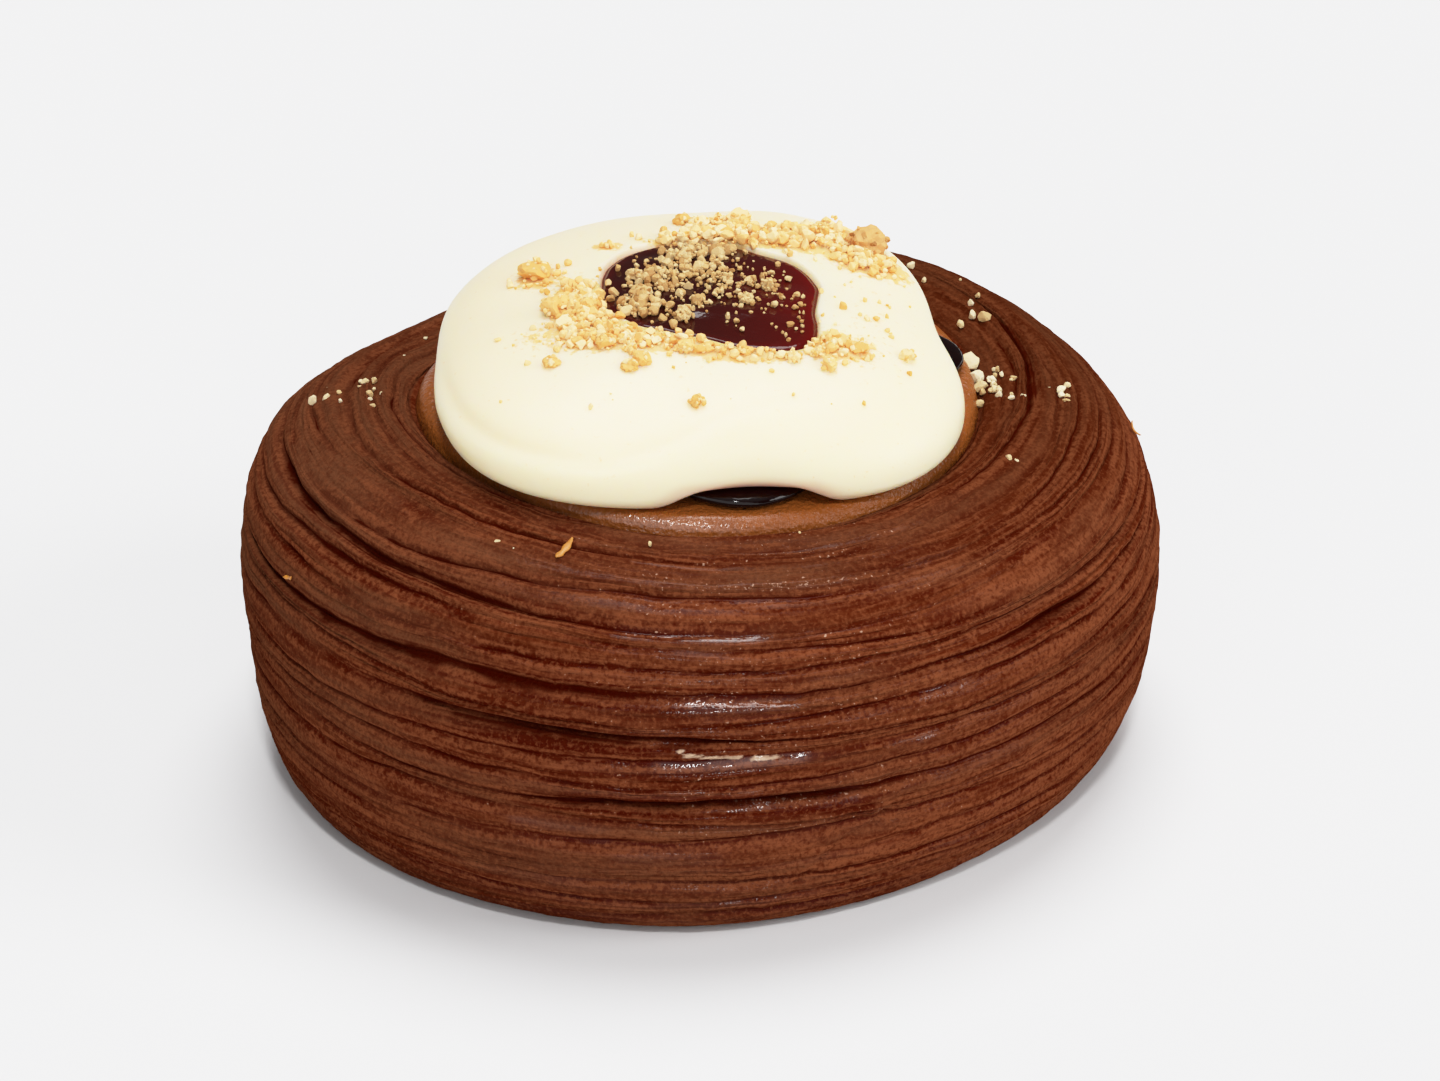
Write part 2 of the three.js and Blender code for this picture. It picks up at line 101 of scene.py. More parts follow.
def blend(low: Array, high: Array, share: Array) -> Array:
    """Go from one value to another by a share."""
    return low + (high - low) * share


def turn_between(a: Array, b: Array) -> Array:
    """Give the signed turn from b to a, the short way round."""
    return np.arctan2(np.sin(a - b), np.cos(a - b))


def chance(a: Array, b: Array) -> Array:
    """Give a steady number from 0 to 1 for each pair of counting numbers."""
    wave = np.sin(a * 12.9898 + b * 78.233) * 43758.5453
    return wave - np.floor(wave)


def round_angles(count: int) -> Array:
    """Spread angles evenly round a full turn."""
    return np.arange(count) / count * TURN


def polar(radius: Array, angle: Array) -> tuple[Array, Array]:
    """Give the plan place at a radius and an angle."""
    return radius * np.cos(angle), radius * np.sin(angle)


@dataclass(frozen=True)
class Swell:
    """A soft bump round one direction.

    Attributes:
        towards: Its middle, in degrees.
        width: Where it has fallen to about a third, in degrees.
        size: Its height in its middle, in mm or as a share.
    """

    towards: float
    width: float
    size: float

    def at(self, angle: Array) -> Array:
        """Give its height at an angle."""
        away = turn_between(angle, math.radians(self.towards)) / math.radians(self.width)
        return self.size * np.exp(-away * away)


@dataclass(frozen=True)
class RingNoise:
    """Smooth steady noise that closes on itself round the pastry.

    Attributes:
        cells: Cells round the full turn.
        seed: Which noise this is.
        size: How far it goes up and down.
        rows: Rows before the noise repeats.
    """

    cells: int
    seed: int
    size: float = 1.0
    rows: int = 97

    def at(self, row: Array | int, angle: Array) -> Array:
        """Give the noise.

        Args:
            row: The row, where each whole number has noise of its own and others lie between two rows.
            angle: The angle round the pastry.

        Returns:
            The noise, in the shape of both together.
        """
        draw = np.random.default_rng(self.seed)
        table = draw.uniform(-1, 1, (self.rows, self.cells))
        phase = draw.uniform(0, self.cells, self.rows)
        row, angle = np.broadcast_arrays(row, angle)
        first = np.floor(row).astype(int)
        lines = []
        for index in (first % self.rows, (first + 1) % self.rows):
            place = angle / TURN * self.cells + phase[index]
            cell = np.floor(place).astype(int)
            ends = table[index, cell % self.cells], table[index, (cell + 1) % self.cells]
            lines.append(blend(*ends, smooth(place - cell)))
        return self.size * blend(*lines, smooth(row - first))


@dataclass(frozen=True)
class PlanNoise:
    """Smooth steady noise over the plan.

    Attributes:
        cell: Size of a cell, in mm.
        seed: Which noise this is.
        size: How far it goes up and down.
        cells: Cells before the noise repeats.
    """

    cell: float
    seed: int
    size: float = 1.0
    cells: int = 64

    def at(self, x: Array, y: Array) -> Array:
        """Give the noise over a place in plan.

        Args:
            x: Place across.
            y: Place along.

        Returns:
            The noise, in the shape of both together.
        """
        table = np.random.default_rng(self.seed).uniform(-1, 1, (self.cells, self.cells))
        column, row = np.floor(x / self.cell).astype(int), np.floor(y / self.cell).astype(int)
        across, along = smooth(x / self.cell - column), smooth(y / self.cell - row)
        left, right = column % self.cells, (column + 1) % self.cells
        near, far = row % self.cells, (row + 1) % self.cells
        front = blend(table[near, left], table[near, right], across)
        back = blend(table[far, left], table[far, right], across)
        return self.size * blend(front, back, along)


@dataclass
class Shape:
    """A mesh before it is made.

    Attributes:
        points: One row for each point, in mm.
        faces: Corner numbers of each face.
        values: Named values of each point, one number or three.
    """

    points: Array
    faces: list[list[int]]
    values: dict[str, Array]


def lofted(rings: Array, bottom: Array, top: Array, values: dict[str, Array] | None = None) -> Shape:
    """Close a skin over rings that run from the middle of the underside out, up and in again.

    Args:
        rings: Points by ring, by place round it, in mm.
        bottom: The point that closes the underside.
        top: The point that closes the top.
        values: Named values for the points of the rings.

    Returns:
        The closed shape. Its two closing points take the values of the rings next to them.
    """
    rows, count = rings.shape[:2]
    index = np.arange(rows * count).reshape(rows, count)
    after = np.roll(index, -1, axis=1)
    quads = np.stack([index[:-1], after[:-1], after[1:], index[1:]], axis=-1).reshape(-1, 4)
    under = np.stack([np.full(count, rows * count), after[0], index[0]], axis=-1)
    over = np.stack([np.full(count, rows * count + 1), index[-1], after[-1]], axis=-1)
    points = np.concatenate([rings.reshape(-1, 3), [bottom, top]])
    closed = {}
    for name, value in (values or {}).items():
        flat = value.reshape(rows * count, -1)
        closed[name] = np.concatenate([flat, flat[:1], flat[-1:]]).squeeze()
    return Shape(points, quads.tolist() + under.tolist() + over.tolist(), closed)


def joined(shapes: list[Shape]) -> Shape:
    """Put several shapes with the same values together as one.

    Args:
        shapes: The shapes.

    Returns:
        One shape with all their points, faces and values.
    """
    faces, start = [], 0
    for shape in shapes:
        faces += [[corner + start for corner in face] for face in shape.faces]
        start += len(shape.points)
    values = {name: np.concatenate([shape.values[name] for shape in shapes]) for name in shapes[0].values}
    return Shape(np.concatenate([shape.points for shape in shapes]), faces, values)


@lru_cache
def ball(subdivisions: int) -> tuple[Array, Array]:
    """Make a round ball of radius 1.

    Args:
        subdivisions: How finely it is divided.

    Returns:
        Its corners and its faces.
    """
    mesh = bmesh.new()
    bmesh.ops.create_icosphere(mesh, subdivisions=subdivisions, radius=1)
    corners = np.array([vertex.co for vertex in mesh.verts])
    faces = np.array([[vertex.index for vertex in face.verts] for face in mesh.faces])
    mesh.free()
    return corners, faces


def ring_normals(rings: Array) -> Array:
    """Give the outward normals of a skin of rings.

    Args:
        rings: Points by ring, by place round it.

    Returns:
        One unit normal for each point.
    """
    around = np.roll(rings, -1, axis=1) - np.roll(rings, 1, axis=1)
    across = np.gradient(rings, axis=0)
    normals = np.cross(around, across)
    return normals / np.maximum(np.linalg.norm(normals, axis=-1, keepdims=True), 1e-9)


def add_node(
    tree: bpy.types.NodeTree, kind: str, inputs: dict | None = None, **settings: object
) -> bpy.types.Node:
    """Add a node with its settings and links.

    Args:
        tree: Where it goes.
        kind: Blender's name for the kind of node.
        inputs: For each input, a value or the output that feeds it.
        settings: The node's own settings.

    Returns:
        The node.
    """
    node = tree.nodes.new(kind)
    for name, value in settings.items():
        setattr(node, name, value)
    for key, value in (inputs or {}).items():
        if isinstance(value, bpy.types.NodeSocket):
            tree.links.new(value, node.inputs[key])
        else:
            node.inputs[key].default_value = value
    return node


@dataclass(frozen=True)
class Pattern:
    """Noise over a surface.

    Attributes:
        size: Of its cells, in mm.
        detail: How much finer noise it carries.
        along: The mesh's value, in mm, that it follows in place of the object's own frame.
    """

    size: float
    detail: float = 2.0
    along: str = ""


@dataclass(frozen=True)
class Layer:
    """A colour over those below it.

    Attributes:
        driver: What says where it lies.
        colour: Its name in the palette.
        start: Where the driver starts to show it.
        full: Where it shows most.
        most: How much it covers there.
    """

    driver: str
    colour: str
    start: float = 0.0
    full: float = 1.0
    most: float = 1.0


class Finish:
    """A surface, from what the real one is made of.

    Attributes:
        name: What the real surface is called.
        palette: Its colours, the ground first.
        soft: Whether it is shaded smooth. A broken surface keeps its facets.
        values: The mesh's values that drive its layers.
        patterns: Noise that drives them.
        sums: More drivers, each one driver times a number plus another. Noise is a half on average.
        layers: What lies over the ground, from below.
        relief: How high each driver stands out, in mm, less than 0 where it goes in.
        bump: How strongly the relief shows.
        coat: The driver that gives the thickness of a coat.
        coat_relief: The coat's own relief.
        shader: The shader's constant inputs.
    """

    name: ClassVar[str]
    palette: ClassVar[dict[str, str]]
    soft: ClassVar[bool] = True
    values: ClassVar[tuple[str, ...]] = ()
    patterns: ClassVar[dict[str, Pattern]] = {}
    sums: ClassVar[dict[str, tuple[str, float, str]]] = {}
    layers: ClassVar[tuple[Layer, ...]] = ()
    relief: ClassVar[dict[str, float]] = {}
    bump: ClassVar[float] = 1.0
    coat: ClassVar[str] = ""
    coat_relief: ClassVar[dict[str, float]] = {}
    shader: ClassVar[dict[str, object]]

    def drivers(self, tree: bpy.types.NodeTree) -> dict[str, bpy.types.NodeSocket]:
        """Lay out the values, the patterns and their sums.

        Args:
            tree: The material's nodes.

        Returns:
            The driver of each name.
        """
        found = {}
        for name in self.values:
            found[name] = add_node(tree, "ShaderNodeAttribute", attribute_name=name).outputs["Fac"]
        place = add_node(tree, "ShaderNodeTexCoord").outputs["Object"]
        for name, pattern in self.patterns.items():
            inputs = {"Vector": place, "Scale": 1 / (pattern.size * MM), "Detail": pattern.detail}
            if pattern.along:
                followed = add_node(tree, "ShaderNodeAttribute", attribute_name=pattern.along)
                inputs |= {"Vector": followed.outputs["Vector"], "Scale": 1 / pattern.size}
            found[name] = add_node(tree, "ShaderNodeTexNoise", inputs).outputs[0]
        for name, (driver, times, base) in self.sums.items():
            inputs = {0: found[driver], 1: times, 2: found[base]}
            found[name] = add_node(tree, "ShaderNodeMath", inputs, operation="MULTIPLY_ADD").outputs[0]
        return found

    def surface(self, tree: bpy.types.NodeTree) -> dict[str, object]:
        """Lay out the layers and the relief.

        Args:
            tree: The material's nodes.

        Returns:
            The shader's inputs.
        """
        drivers = self.drivers(tree)
        colours = {name: linear(colour) for name, colour in self.palette.items()}
        colour = next(iter(colours.values()))
        for layer in self.layers:
            inputs = {"Value": drivers[layer.driver], "From Min": layer.start, "From Max": layer.full}
            cover = add_node(tree, "ShaderNodeMapRange", inputs | {"To Max": layer.most}).outputs[0]
            inputs = {MIX_FACTOR: cover, MIX_A: colour, MIX_B: colours[layer.colour]}
            colour = add_node(tree, "ShaderNodeMix", inputs, data_type="RGBA").outputs[MIX_RESULT]
        found = {"Base Color": colour, **self.shader}
        if self.coat:
            found["Coat Weight"] = drivers[self.coat]
        for socket, relief in (("Normal", self.relief), ("Coat Normal", self.coat_relief)):
            for driver, depth in relief.items():
                inputs = {"Height": drivers[driver], "Strength": self.bump, "Distance": abs(depth) * MM}
                if socket in found:
                    inputs["Normal"] = found[socket]
                found[socket] = add_node(tree, "ShaderNodeBump", inputs, invert=depth < 0).outputs[0]
        return found

    def material(self) -> bpy.types.Material:
        """Make the material, or find it if it is made already.

        Returns:
            The material.
        """
        made = bpy.data.materials.get(self.name)
        if made:
            return made
        material = bpy.data.materials.new(self.name)
        material.use_nodes = True
        tree = material.node_tree
        tree.nodes.clear()
        shader = add_node(tree, "ShaderNodeBsdfPrincipled", self.surface(tree))
        add_node(tree, "ShaderNodeOutputMaterial", {"Surface": shader.outputs[0]})
        return material


class LaminatedDough(Finish):
    """Laminated chocolate dough, coiled with its cut layers outwards, baked and brushed with thin syrup.

    The eye gets dull cocoa and ember brown bands with a crumbly grain, painted dark red shade in the troughs
    and painted dark shade in the broken cracks between them, a painted grey sheen on the left and top, a
    sugary grit with painted sparkle glints, and broken glints on the shoulders where the syrup lies thick.
    """

    name = "baked_chocolate_dough"
    palette = {
        "crust": "#562611",
        "cocoa": "#441405",
        "ember": "#733e25",
        # dull bloom, and a painted grey sheen
        "bloom_and_sheen": "#5e3824",
        "umber": "#3e1c0a",
        # painted dark red shade for the troughs, and the dark of the fibres
        "trough_shade_and_fibre_dark": "#3a0801",
        # painted dark shade inside the cracks between strands
        "crack_shade": "#330500",
        # sugar specks, and painted sparkle glints
        "sugar_and_glints": "#c8a48c",
        "flake": "#bf9f84",
    }
    values = ("tone", "trough", "rim", "groove", "bloom_and_sheen", "umber", "glaze", "sugared_and_glinting", "flake")
    patterns = {
        "streak": Pattern(1.0, 3.0, "strand"),
        "fibre": Pattern(0.5, 3.0, "strand"),
        "patch": Pattern(1.5, 3.0),
        "crumb": Pattern(0.6, 4.0),
        "cloud": Pattern(3.6),
        "grit": Pattern(0.36, 1.0),
    }
    sums = {
        "hollow": ("patch", 0.9, "trough"),
        "ragged": ("crumb", 0.8, "groove"),
        "dashed": ("cloud", 1.2, "ragged"),
        "banded": ("streak", 0.4, "grit"),
        "sparkle": ("sugared_and_glinting", 0.2, "banded"),
        "torn": ("crumb", 0.9, "flake"),
        "edge": ("crumb", 0.9, "rim"),
    }
    layers = (
        Layer("tone", "cocoa", 0.5, 0.15, 0.95),
        Layer("tone", "ember", 0.55, 0.9, 0.85),
        Layer("streak", "cocoa", 0.48, 0.34, 0.7),
        Layer("streak", "ember", 0.54, 0.7, 0.7),
        # dull bloom, and a painted grey sheen on the left side and the top
        Layer("bloom_and_sheen", "bloom_and_sheen"),
        Layer("patch", "cocoa", 0.48, 0.3, 0.35),
        Layer("patch", "ember", 0.54, 0.72, 0.35),
        # painted dark red shade in the troughs about the grooves, in patches
        Layer("hollow", "trough_shade_and_fibre_dark", 0.62, 1.12, 0.95),
        Layer("edge", "ember", 1.1, 1.4, 0.75),
        Layer("fibre", "trough_shade_and_fibre_dark", 0.48, 0.34, 0.5),
        Layer("fibre", "ember", 0.53, 0.68, 0.6),
        Layer("crumb", "cocoa", 0.48, 0.32, 0.65),
        Layer("crumb", "ember", 0.52, 0.7, 0.5),
        Layer("grit", "cocoa", 0.46, 0.3, 0.5),
        Layer("grit", "ember", 0.56, 0.7, 0.4),
        # more of the dull bloom and painted grey sheen, over every colour below
        Layer("bloom_and_sheen", "bloom_and_sheen", 0.2, 1.0, 0.42),
        Layer("umber", "umber", 0.0, 1.0, 0.5),
        # sugar specks, and painted sparkle glints on the front and where the glosses lie
        Layer("sparkle", "sugar_and_glints", 1.07, 1.18, 0.6),
        # painted dark shade in the broken cracks, where the grooves are deep
        Layer("dashed", "crack_shade", 1.42, 1.75, 0.9),
        Layer("torn", "flake", 0.75, 1.15, 0.9),
    )
    relief = {"streak": 0.4, "fibre": 0.25, "crumb": 0.22, "grit": 0.08}
    bump = 0.8
    coat = "glaze"
    coat_relief = {"trough": -0.9, "streak": 0.2, "grit": 0.06}
    shader = {"Roughness": 0.6, "Specular IOR Level": 0.0, "Coat Roughness": 0.13}


class ButterCrust(Finish):
    """Splinter of dough fried in its own butter: it gives the eye a clear orange gold with darker specks."""

    name = "butter_fried_crust"
    palette = {"browned": "#9a5a1c", "golden": "#d08a34"}
    patterns = {"speck": Pattern(0.5)}
    layers = (Layer("speck", "golden"),)
    relief = {"speck": 0.05}
    bump = 0.5
    shader = {"Roughness": 0.4, "Specular IOR Level": 0.4}


class MilkChocolateCream(Finish):
    """Whipped milk chocolate cream, set and spread with a spoon.

    The eye gets a soft brown with half gloss, and fine glints from the fat in its skin where that has set.
    """

    name = "milk_chocolate_cream"
    palette = {"cream": "#753c15", "pale": "#905120"}
    values = ("sheen",)
    patterns = {"swirl": Pattern(5.0), "grain": Pattern(0.5), "speck": Pattern(0.55)}
    layers = (Layer("swirl", "pale"),)
    relief = {"grain": 0.3}
    coat = "sheen"
    coat_relief = {"speck": 0.13}
    shader = {"Roughness": 0.3, "Specular IOR Level": 0.22, "Coat Roughness": 0.15}


class CherryJam(Finish):
    """Cherry jam, cooked dark and set to a wet gel.

    The eye gets near black where it is deep, red where it is thin, and sharp wet glints.
    """

    name = "cooked_cherry_jam"
    # deep: near black, browned in part to give a painted sheen over the left of the pool
    palette = {"deep": "#2c0c09", "thin": "#640a07"}
    values = ("thin",)
    patterns = {"lump": Pattern(1.6)}
    layers = (Layer("thin", "thin"),)
    relief = {"lump": 0.12}
    bump = 0.7
    shader = {"Roughness": 0.08, "Specular IOR Level": 0.22}


class ThickCherryJam(CherryJam):
    """The same jam where it lies thick: it gives the eye a wet black."""

    name = "thick_cherry_jam"
    palette = {"deep": "#0e0202", "thin": "#640a07"}


class WhippedCream(Finish):
    """White mascarpone cream, whipped soft and dropped from a spoon.

    The eye gets a warm ivory that light enters, a dull silky gloss, a stain where jam touches it, and golden
    dust.
    """

    name = "whipped_cream"
    palette = {"ivory": "#f8e2b9", "stain": "#c08478", "dust": "#f3b763"}
    values = ("stain", "dust")
    patterns = {"pore": Pattern(0.8), "grain": Pattern(0.7)}
    sums = {"dusty": ("grain", 1.6, "dust")}
    layers = (Layer("stain", "stain"), Layer("dusty", "dust", 1.1, 1.4, 0.8))
    relief = {"pore": 0.05}
    bump = 0.25
    shader = {
        "Roughness": 0.42,
        "Specular IOR Level": 0.3,
        "Subsurface Weight": 0.8,
        "Subsurface Radius": (1.0, 0.72, 0.4),
        "Subsurface Scale": 5.0 * MM,
    }


class GoldenCrumble(Finish):
    """Butter crumble, baked and rubbed to crumbs.

    The eye gets rough golden grains, each a little paler or more browned than the next.
    """

    name = "golden_crumble"
    palette = {"pale": "#fbdba6", "golden": "#f6c27c", "browned": "#e3a254"}
    soft = False
    values = ("tone",)
    patterns = {"grain": Pattern(0.22)}
    layers = (Layer("tone", "golden", 0.0, 0.6), Layer("tone", "browned", 0.65, 1.0))
    relief = {"grain": 0.08}
    bump = 0.6
    shader = {
        "Roughness": 0.6,
        "Specular IOR Level": 0.3,
        "Subsurface Weight": 0.2,
        "Subsurface Radius": (1.0, 0.7, 0.35),
        "Subsurface Scale": 0.5 * MM,
    }


class StainedCrumble(GoldenCrumble):
    """Crumble that has drawn in jam: it gives the eye duller and darker grains."""

    name = "stained_crumble"
    palette = {"pale": "#dfbf8b", "golden": "#cba168", "browned": "#ab7d47"}


class PaleCrumble(GoldenCrumble):
    """Crumble that baked less: it gives the eye grains of pale straw."""

    name = "pale_crumble"
    palette = {"pale": "#e8d6b2", "golden": "#d8be8e", "browned": "#ba9764"}


class RoastedHazelnut(GoldenCrumble):
    """Hazelnut, roasted and broken: it gives the eye a deeper gold with browned flakes."""

    name = "roasted_hazelnut"
    palette = {"pale": "#dca669", "golden": "#c98f4e", "browned": "#a56f36"}


class PaleBoard(Finish):
    """Matt white board: it gives the eye nothing but the pastry's soft shadow."""

    name = "matt_white_board"
    palette = {"white": "#e6e6e7"}
    shader = {"Roughness": 0.8, "Specular IOR Level": 0.2}


def place_piece(
    name: str, shape: Shape, finish: Finish, replaced: tuple[str, ...] = ()
) -> bpy.types.Object:
    """Make a piece, dress it and set it on the pastry's body.

    Args:
        name: The piece's name.
        shape: Its mesh, in mm.
        finish: Its surface.
        replaced: The solids that it stands for.

    Returns:
        The piece.
    """
    mesh = bpy.data.meshes.new(name)
    mesh.from_pydata((shape.points * MM).tolist(), [], shape.faces)
    if finish.soft:
        mesh.shade_smooth()
    for key, value in shape.values.items():
        several = value.ndim == 2
        attribute = mesh.attributes.new(key, "FLOAT_VECTOR" if several else "FLOAT", "POINT")
        attribute.data.foreach_set("vector" if several else "value", value.astype(np.float32).ravel())
    mesh.materials.append(finish.material())
    piece = bpy.data.objects.new(name, mesh)
    bpy.context.scene.collection.objects.link(piece)
    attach(piece, BODY)
    if replaced:
        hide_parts(*replaced)
    LOG.info("%s: %d points, %d faces", name, len(mesh.vertices), len(mesh.polygons))
    return piece


@dataclass(frozen=True)
class Bulge:
    """A place where the wall stands out, or draws in.

    Attributes:
        swell: Its direction and reach.
        height: Its middle above the table, in mm.
        over: Where it has fallen to about a third above or below that, in mm.
    """

    swell: Swell
    height: float
    over: float

    def at(self, angle: Array, height: Array) -> Array:
        """Give its reach at an angle and a height."""
        return self.swell.at(angle) * np.exp(-(((height - self.height) / self.over) ** 2))


@dataclass(frozen=True)
class Slump:
    """How the even drum slumped as it was baked, in plan and in height. Lengths in mm, angles in degrees."""

    belly_height: float = 24.4
    crest_radius: float = 35.2
    crest_height: float = 43.9
    dish_radius: float = 32.1
    shear: Pair = (2.4, -0.82)  # from the foot to the crest
    dish_offset: Pair = (-0.6, -1.8)  # from the crest to the dish
    oval_share: float = 0.0055
    oval_along: float = 18
    lean_rise: float = 1.9
    lean_towards: float = 127
    saddle_rise: float = 1.05
    saddle_along: float = 35
    dip: Swell = Swell(140, 28, 3.2)
    dip_from: float = 24
    dip_over: float = 11
    bulges: tuple[Bulge, ...] = (
        Bulge(Swell(-90, 24, 1.3), 0, 12),
        Bulge(Swell(-6, 36, 0.7), 15, 10),
        Bulge(Swell(188, 36, -0.6), 15, 11),
        Bulge(Swell(178, 32, 1.0), 38, 7),
        Bulge(Swell(28, 24, -1.1), 40, 7),
    )
    bulge_fade: float = 8  # from the crest outwards, until a bulge has its full reach

    def rise(self, x: Array, y: Array) -> Array:
        """Give how far the top stands above its even height, over a place in plan.

        Args:
            x: Place across.
            y: Place along.

        Returns:
            The rise, in the shape of both together.
        """
        radius, angle = np.hypot(x, y), np.arctan2(y, x)
        lean = self.lean_rise * radius / self.crest_radius * np.cos(angle - math.radians(self.lean_towards))
        bend = self.saddle_rise * np.minimum(1, (radius / self.dish_radius) ** 2)
        bend = bend * np.cos(2 * (angle - math.radians(self.saddle_along)))
        return lean + bend - smooth((radius - self.dip_from) / self.dip_over) * self.dip.at(angle)

    def drum_point(self, radius: Array, angle: Array, height: Array) -> Array:
        """Move a point of the even drum to where the slumped dough has it.

        Args:
            radius: From the drum's axis.
            angle: Round it.
            height: Above the table.

        Returns:
            The points, with x, y and z last.
        """
        share = np.minimum(1, height / self.crest_height)
        inward = smooth((self.crest_radius - radius) / (self.crest_radius - self.dish_radius))
        oval = 1 + self.oval_share * np.cos(2 * (angle - math.radians(self.oval_along)))
        on_wall = smooth((radius - self.crest_radius) / self.bulge_fade)
        bulge = on_wall * sum(bulge.at(angle, height) for bulge in self.bulges)
        x, y = polar(oval * (radius + bulge), angle)
        over = share - self.belly_height / self.crest_height
        x = x + self.shear[0] * over + self.dish_offset[0] * inward * share
        y = y + self.shear[1] * over + self.dish_offset[1] * inward * share
        return np.stack(np.broadcast_arrays(x, y, height + share * share * self.rise(x, y)), axis=-1)

    def dish_point(self, x: Array, y: Array, height: Array) -> Array:
        """Seat a point of the fillings, given about the middle of the dish.

        Args:
            x: Place across.
            y: Place along.
            height: Even height above the table.

        Returns:
            The points, with x, y and z last.
        """
        over = 1 - self.belly_height / self.crest_height
        x = x + self.dish_offset[0] + self.shear[0] * over
        y = y + self.dish_offset[1] + self.shear[1] * over
        return np.stack(np.broadcast_arrays(x, y, height + self.rise(x, y)), axis=-1)


@dataclass(frozen=True)
class Gash:
    """A stretch where two strands have parted in the oven, at a groove counted from the lowest."""

    groove: int
    opening: Swell


@dataclass(frozen=True)
class Wave:
    """A wave round the drum that differs from strand to strand.

    Attributes:
        size: How far it goes up and down.
        count: How many there are in a full turn.
        slip: How far each strand's wave is ahead of the last one's, in radians.
        start: Where the lowest strand's wave starts, in radians.
    """

    size: float
    count: int
    slip: float
    start: float = 0.0

    def at(self, strand: Array | int, angle: Array) -> Array:
        """Give a strand's wave at an angle."""
        return self.size * np.sin(self.count * angle + self.slip * strand + self.start)


@dataclass(frozen=True)
class Tint:
    """A stretch of the wall where the dough looks different.

    Attributes:
        swell: Its direction and strength.
        start: How far up it starts, counted in strands.
        over: How many strands it takes to its full strength, less than 0 where it grows downwards.
    """

    swell: Swell
    start: float
    over: float

    def at(self, place: Array | int, angle: Array) -> Array:
        """Give its strength at a place, counted in strands, and an angle."""
        return self.swell.at(angle) * smooth((place - self.start) / self.over)


@dataclass(frozen=True)
class Mark:
    """A line on the dough's wall, through places counted in strands and angles in degrees.

    Attributes:
        path: The places that it runs through.
        width: Where it has faded to about a third, in mm.
    """

    path: tuple[Pair, ...]
    width: float

    def nearness(self, place: Array, angle: Array, pitch: float, radius: float) -> Array:
        """Say how near the line is.

        Args:
            place: How far up the wall, counted in strands.
            angle: Round the drum.
            pitch: Width of a strand, in mm.
            radius: Of the drum, in mm.

        Returns:
            1 on the line, falling to 0 away from it.
        """
        start = math.radians(self.path[0][1])
        x, y = turn_between(angle, start) * radius, place * pitch
        ends = [(turn_between(math.radians(turn), start) * radius, up * pitch) for up, turn in self.path]
        nearest = np.full(np.broadcast(x, y).shape, np.inf)
        for (ax, ay), (bx, by) in zip(ends, ends[1:]):
            along = ((x - ax) * (bx - ax) + (y - ay) * (by - ay)) / ((bx - ax) ** 2 + (by - ay) ** 2)
            along = np.clip(along, 0, 1)
            nearest = np.minimum(nearest, np.hypot(x - blend(ax, bx, along), y - blend(ay, by, along)))
        return np.exp(-((nearest / self.width) ** 2))


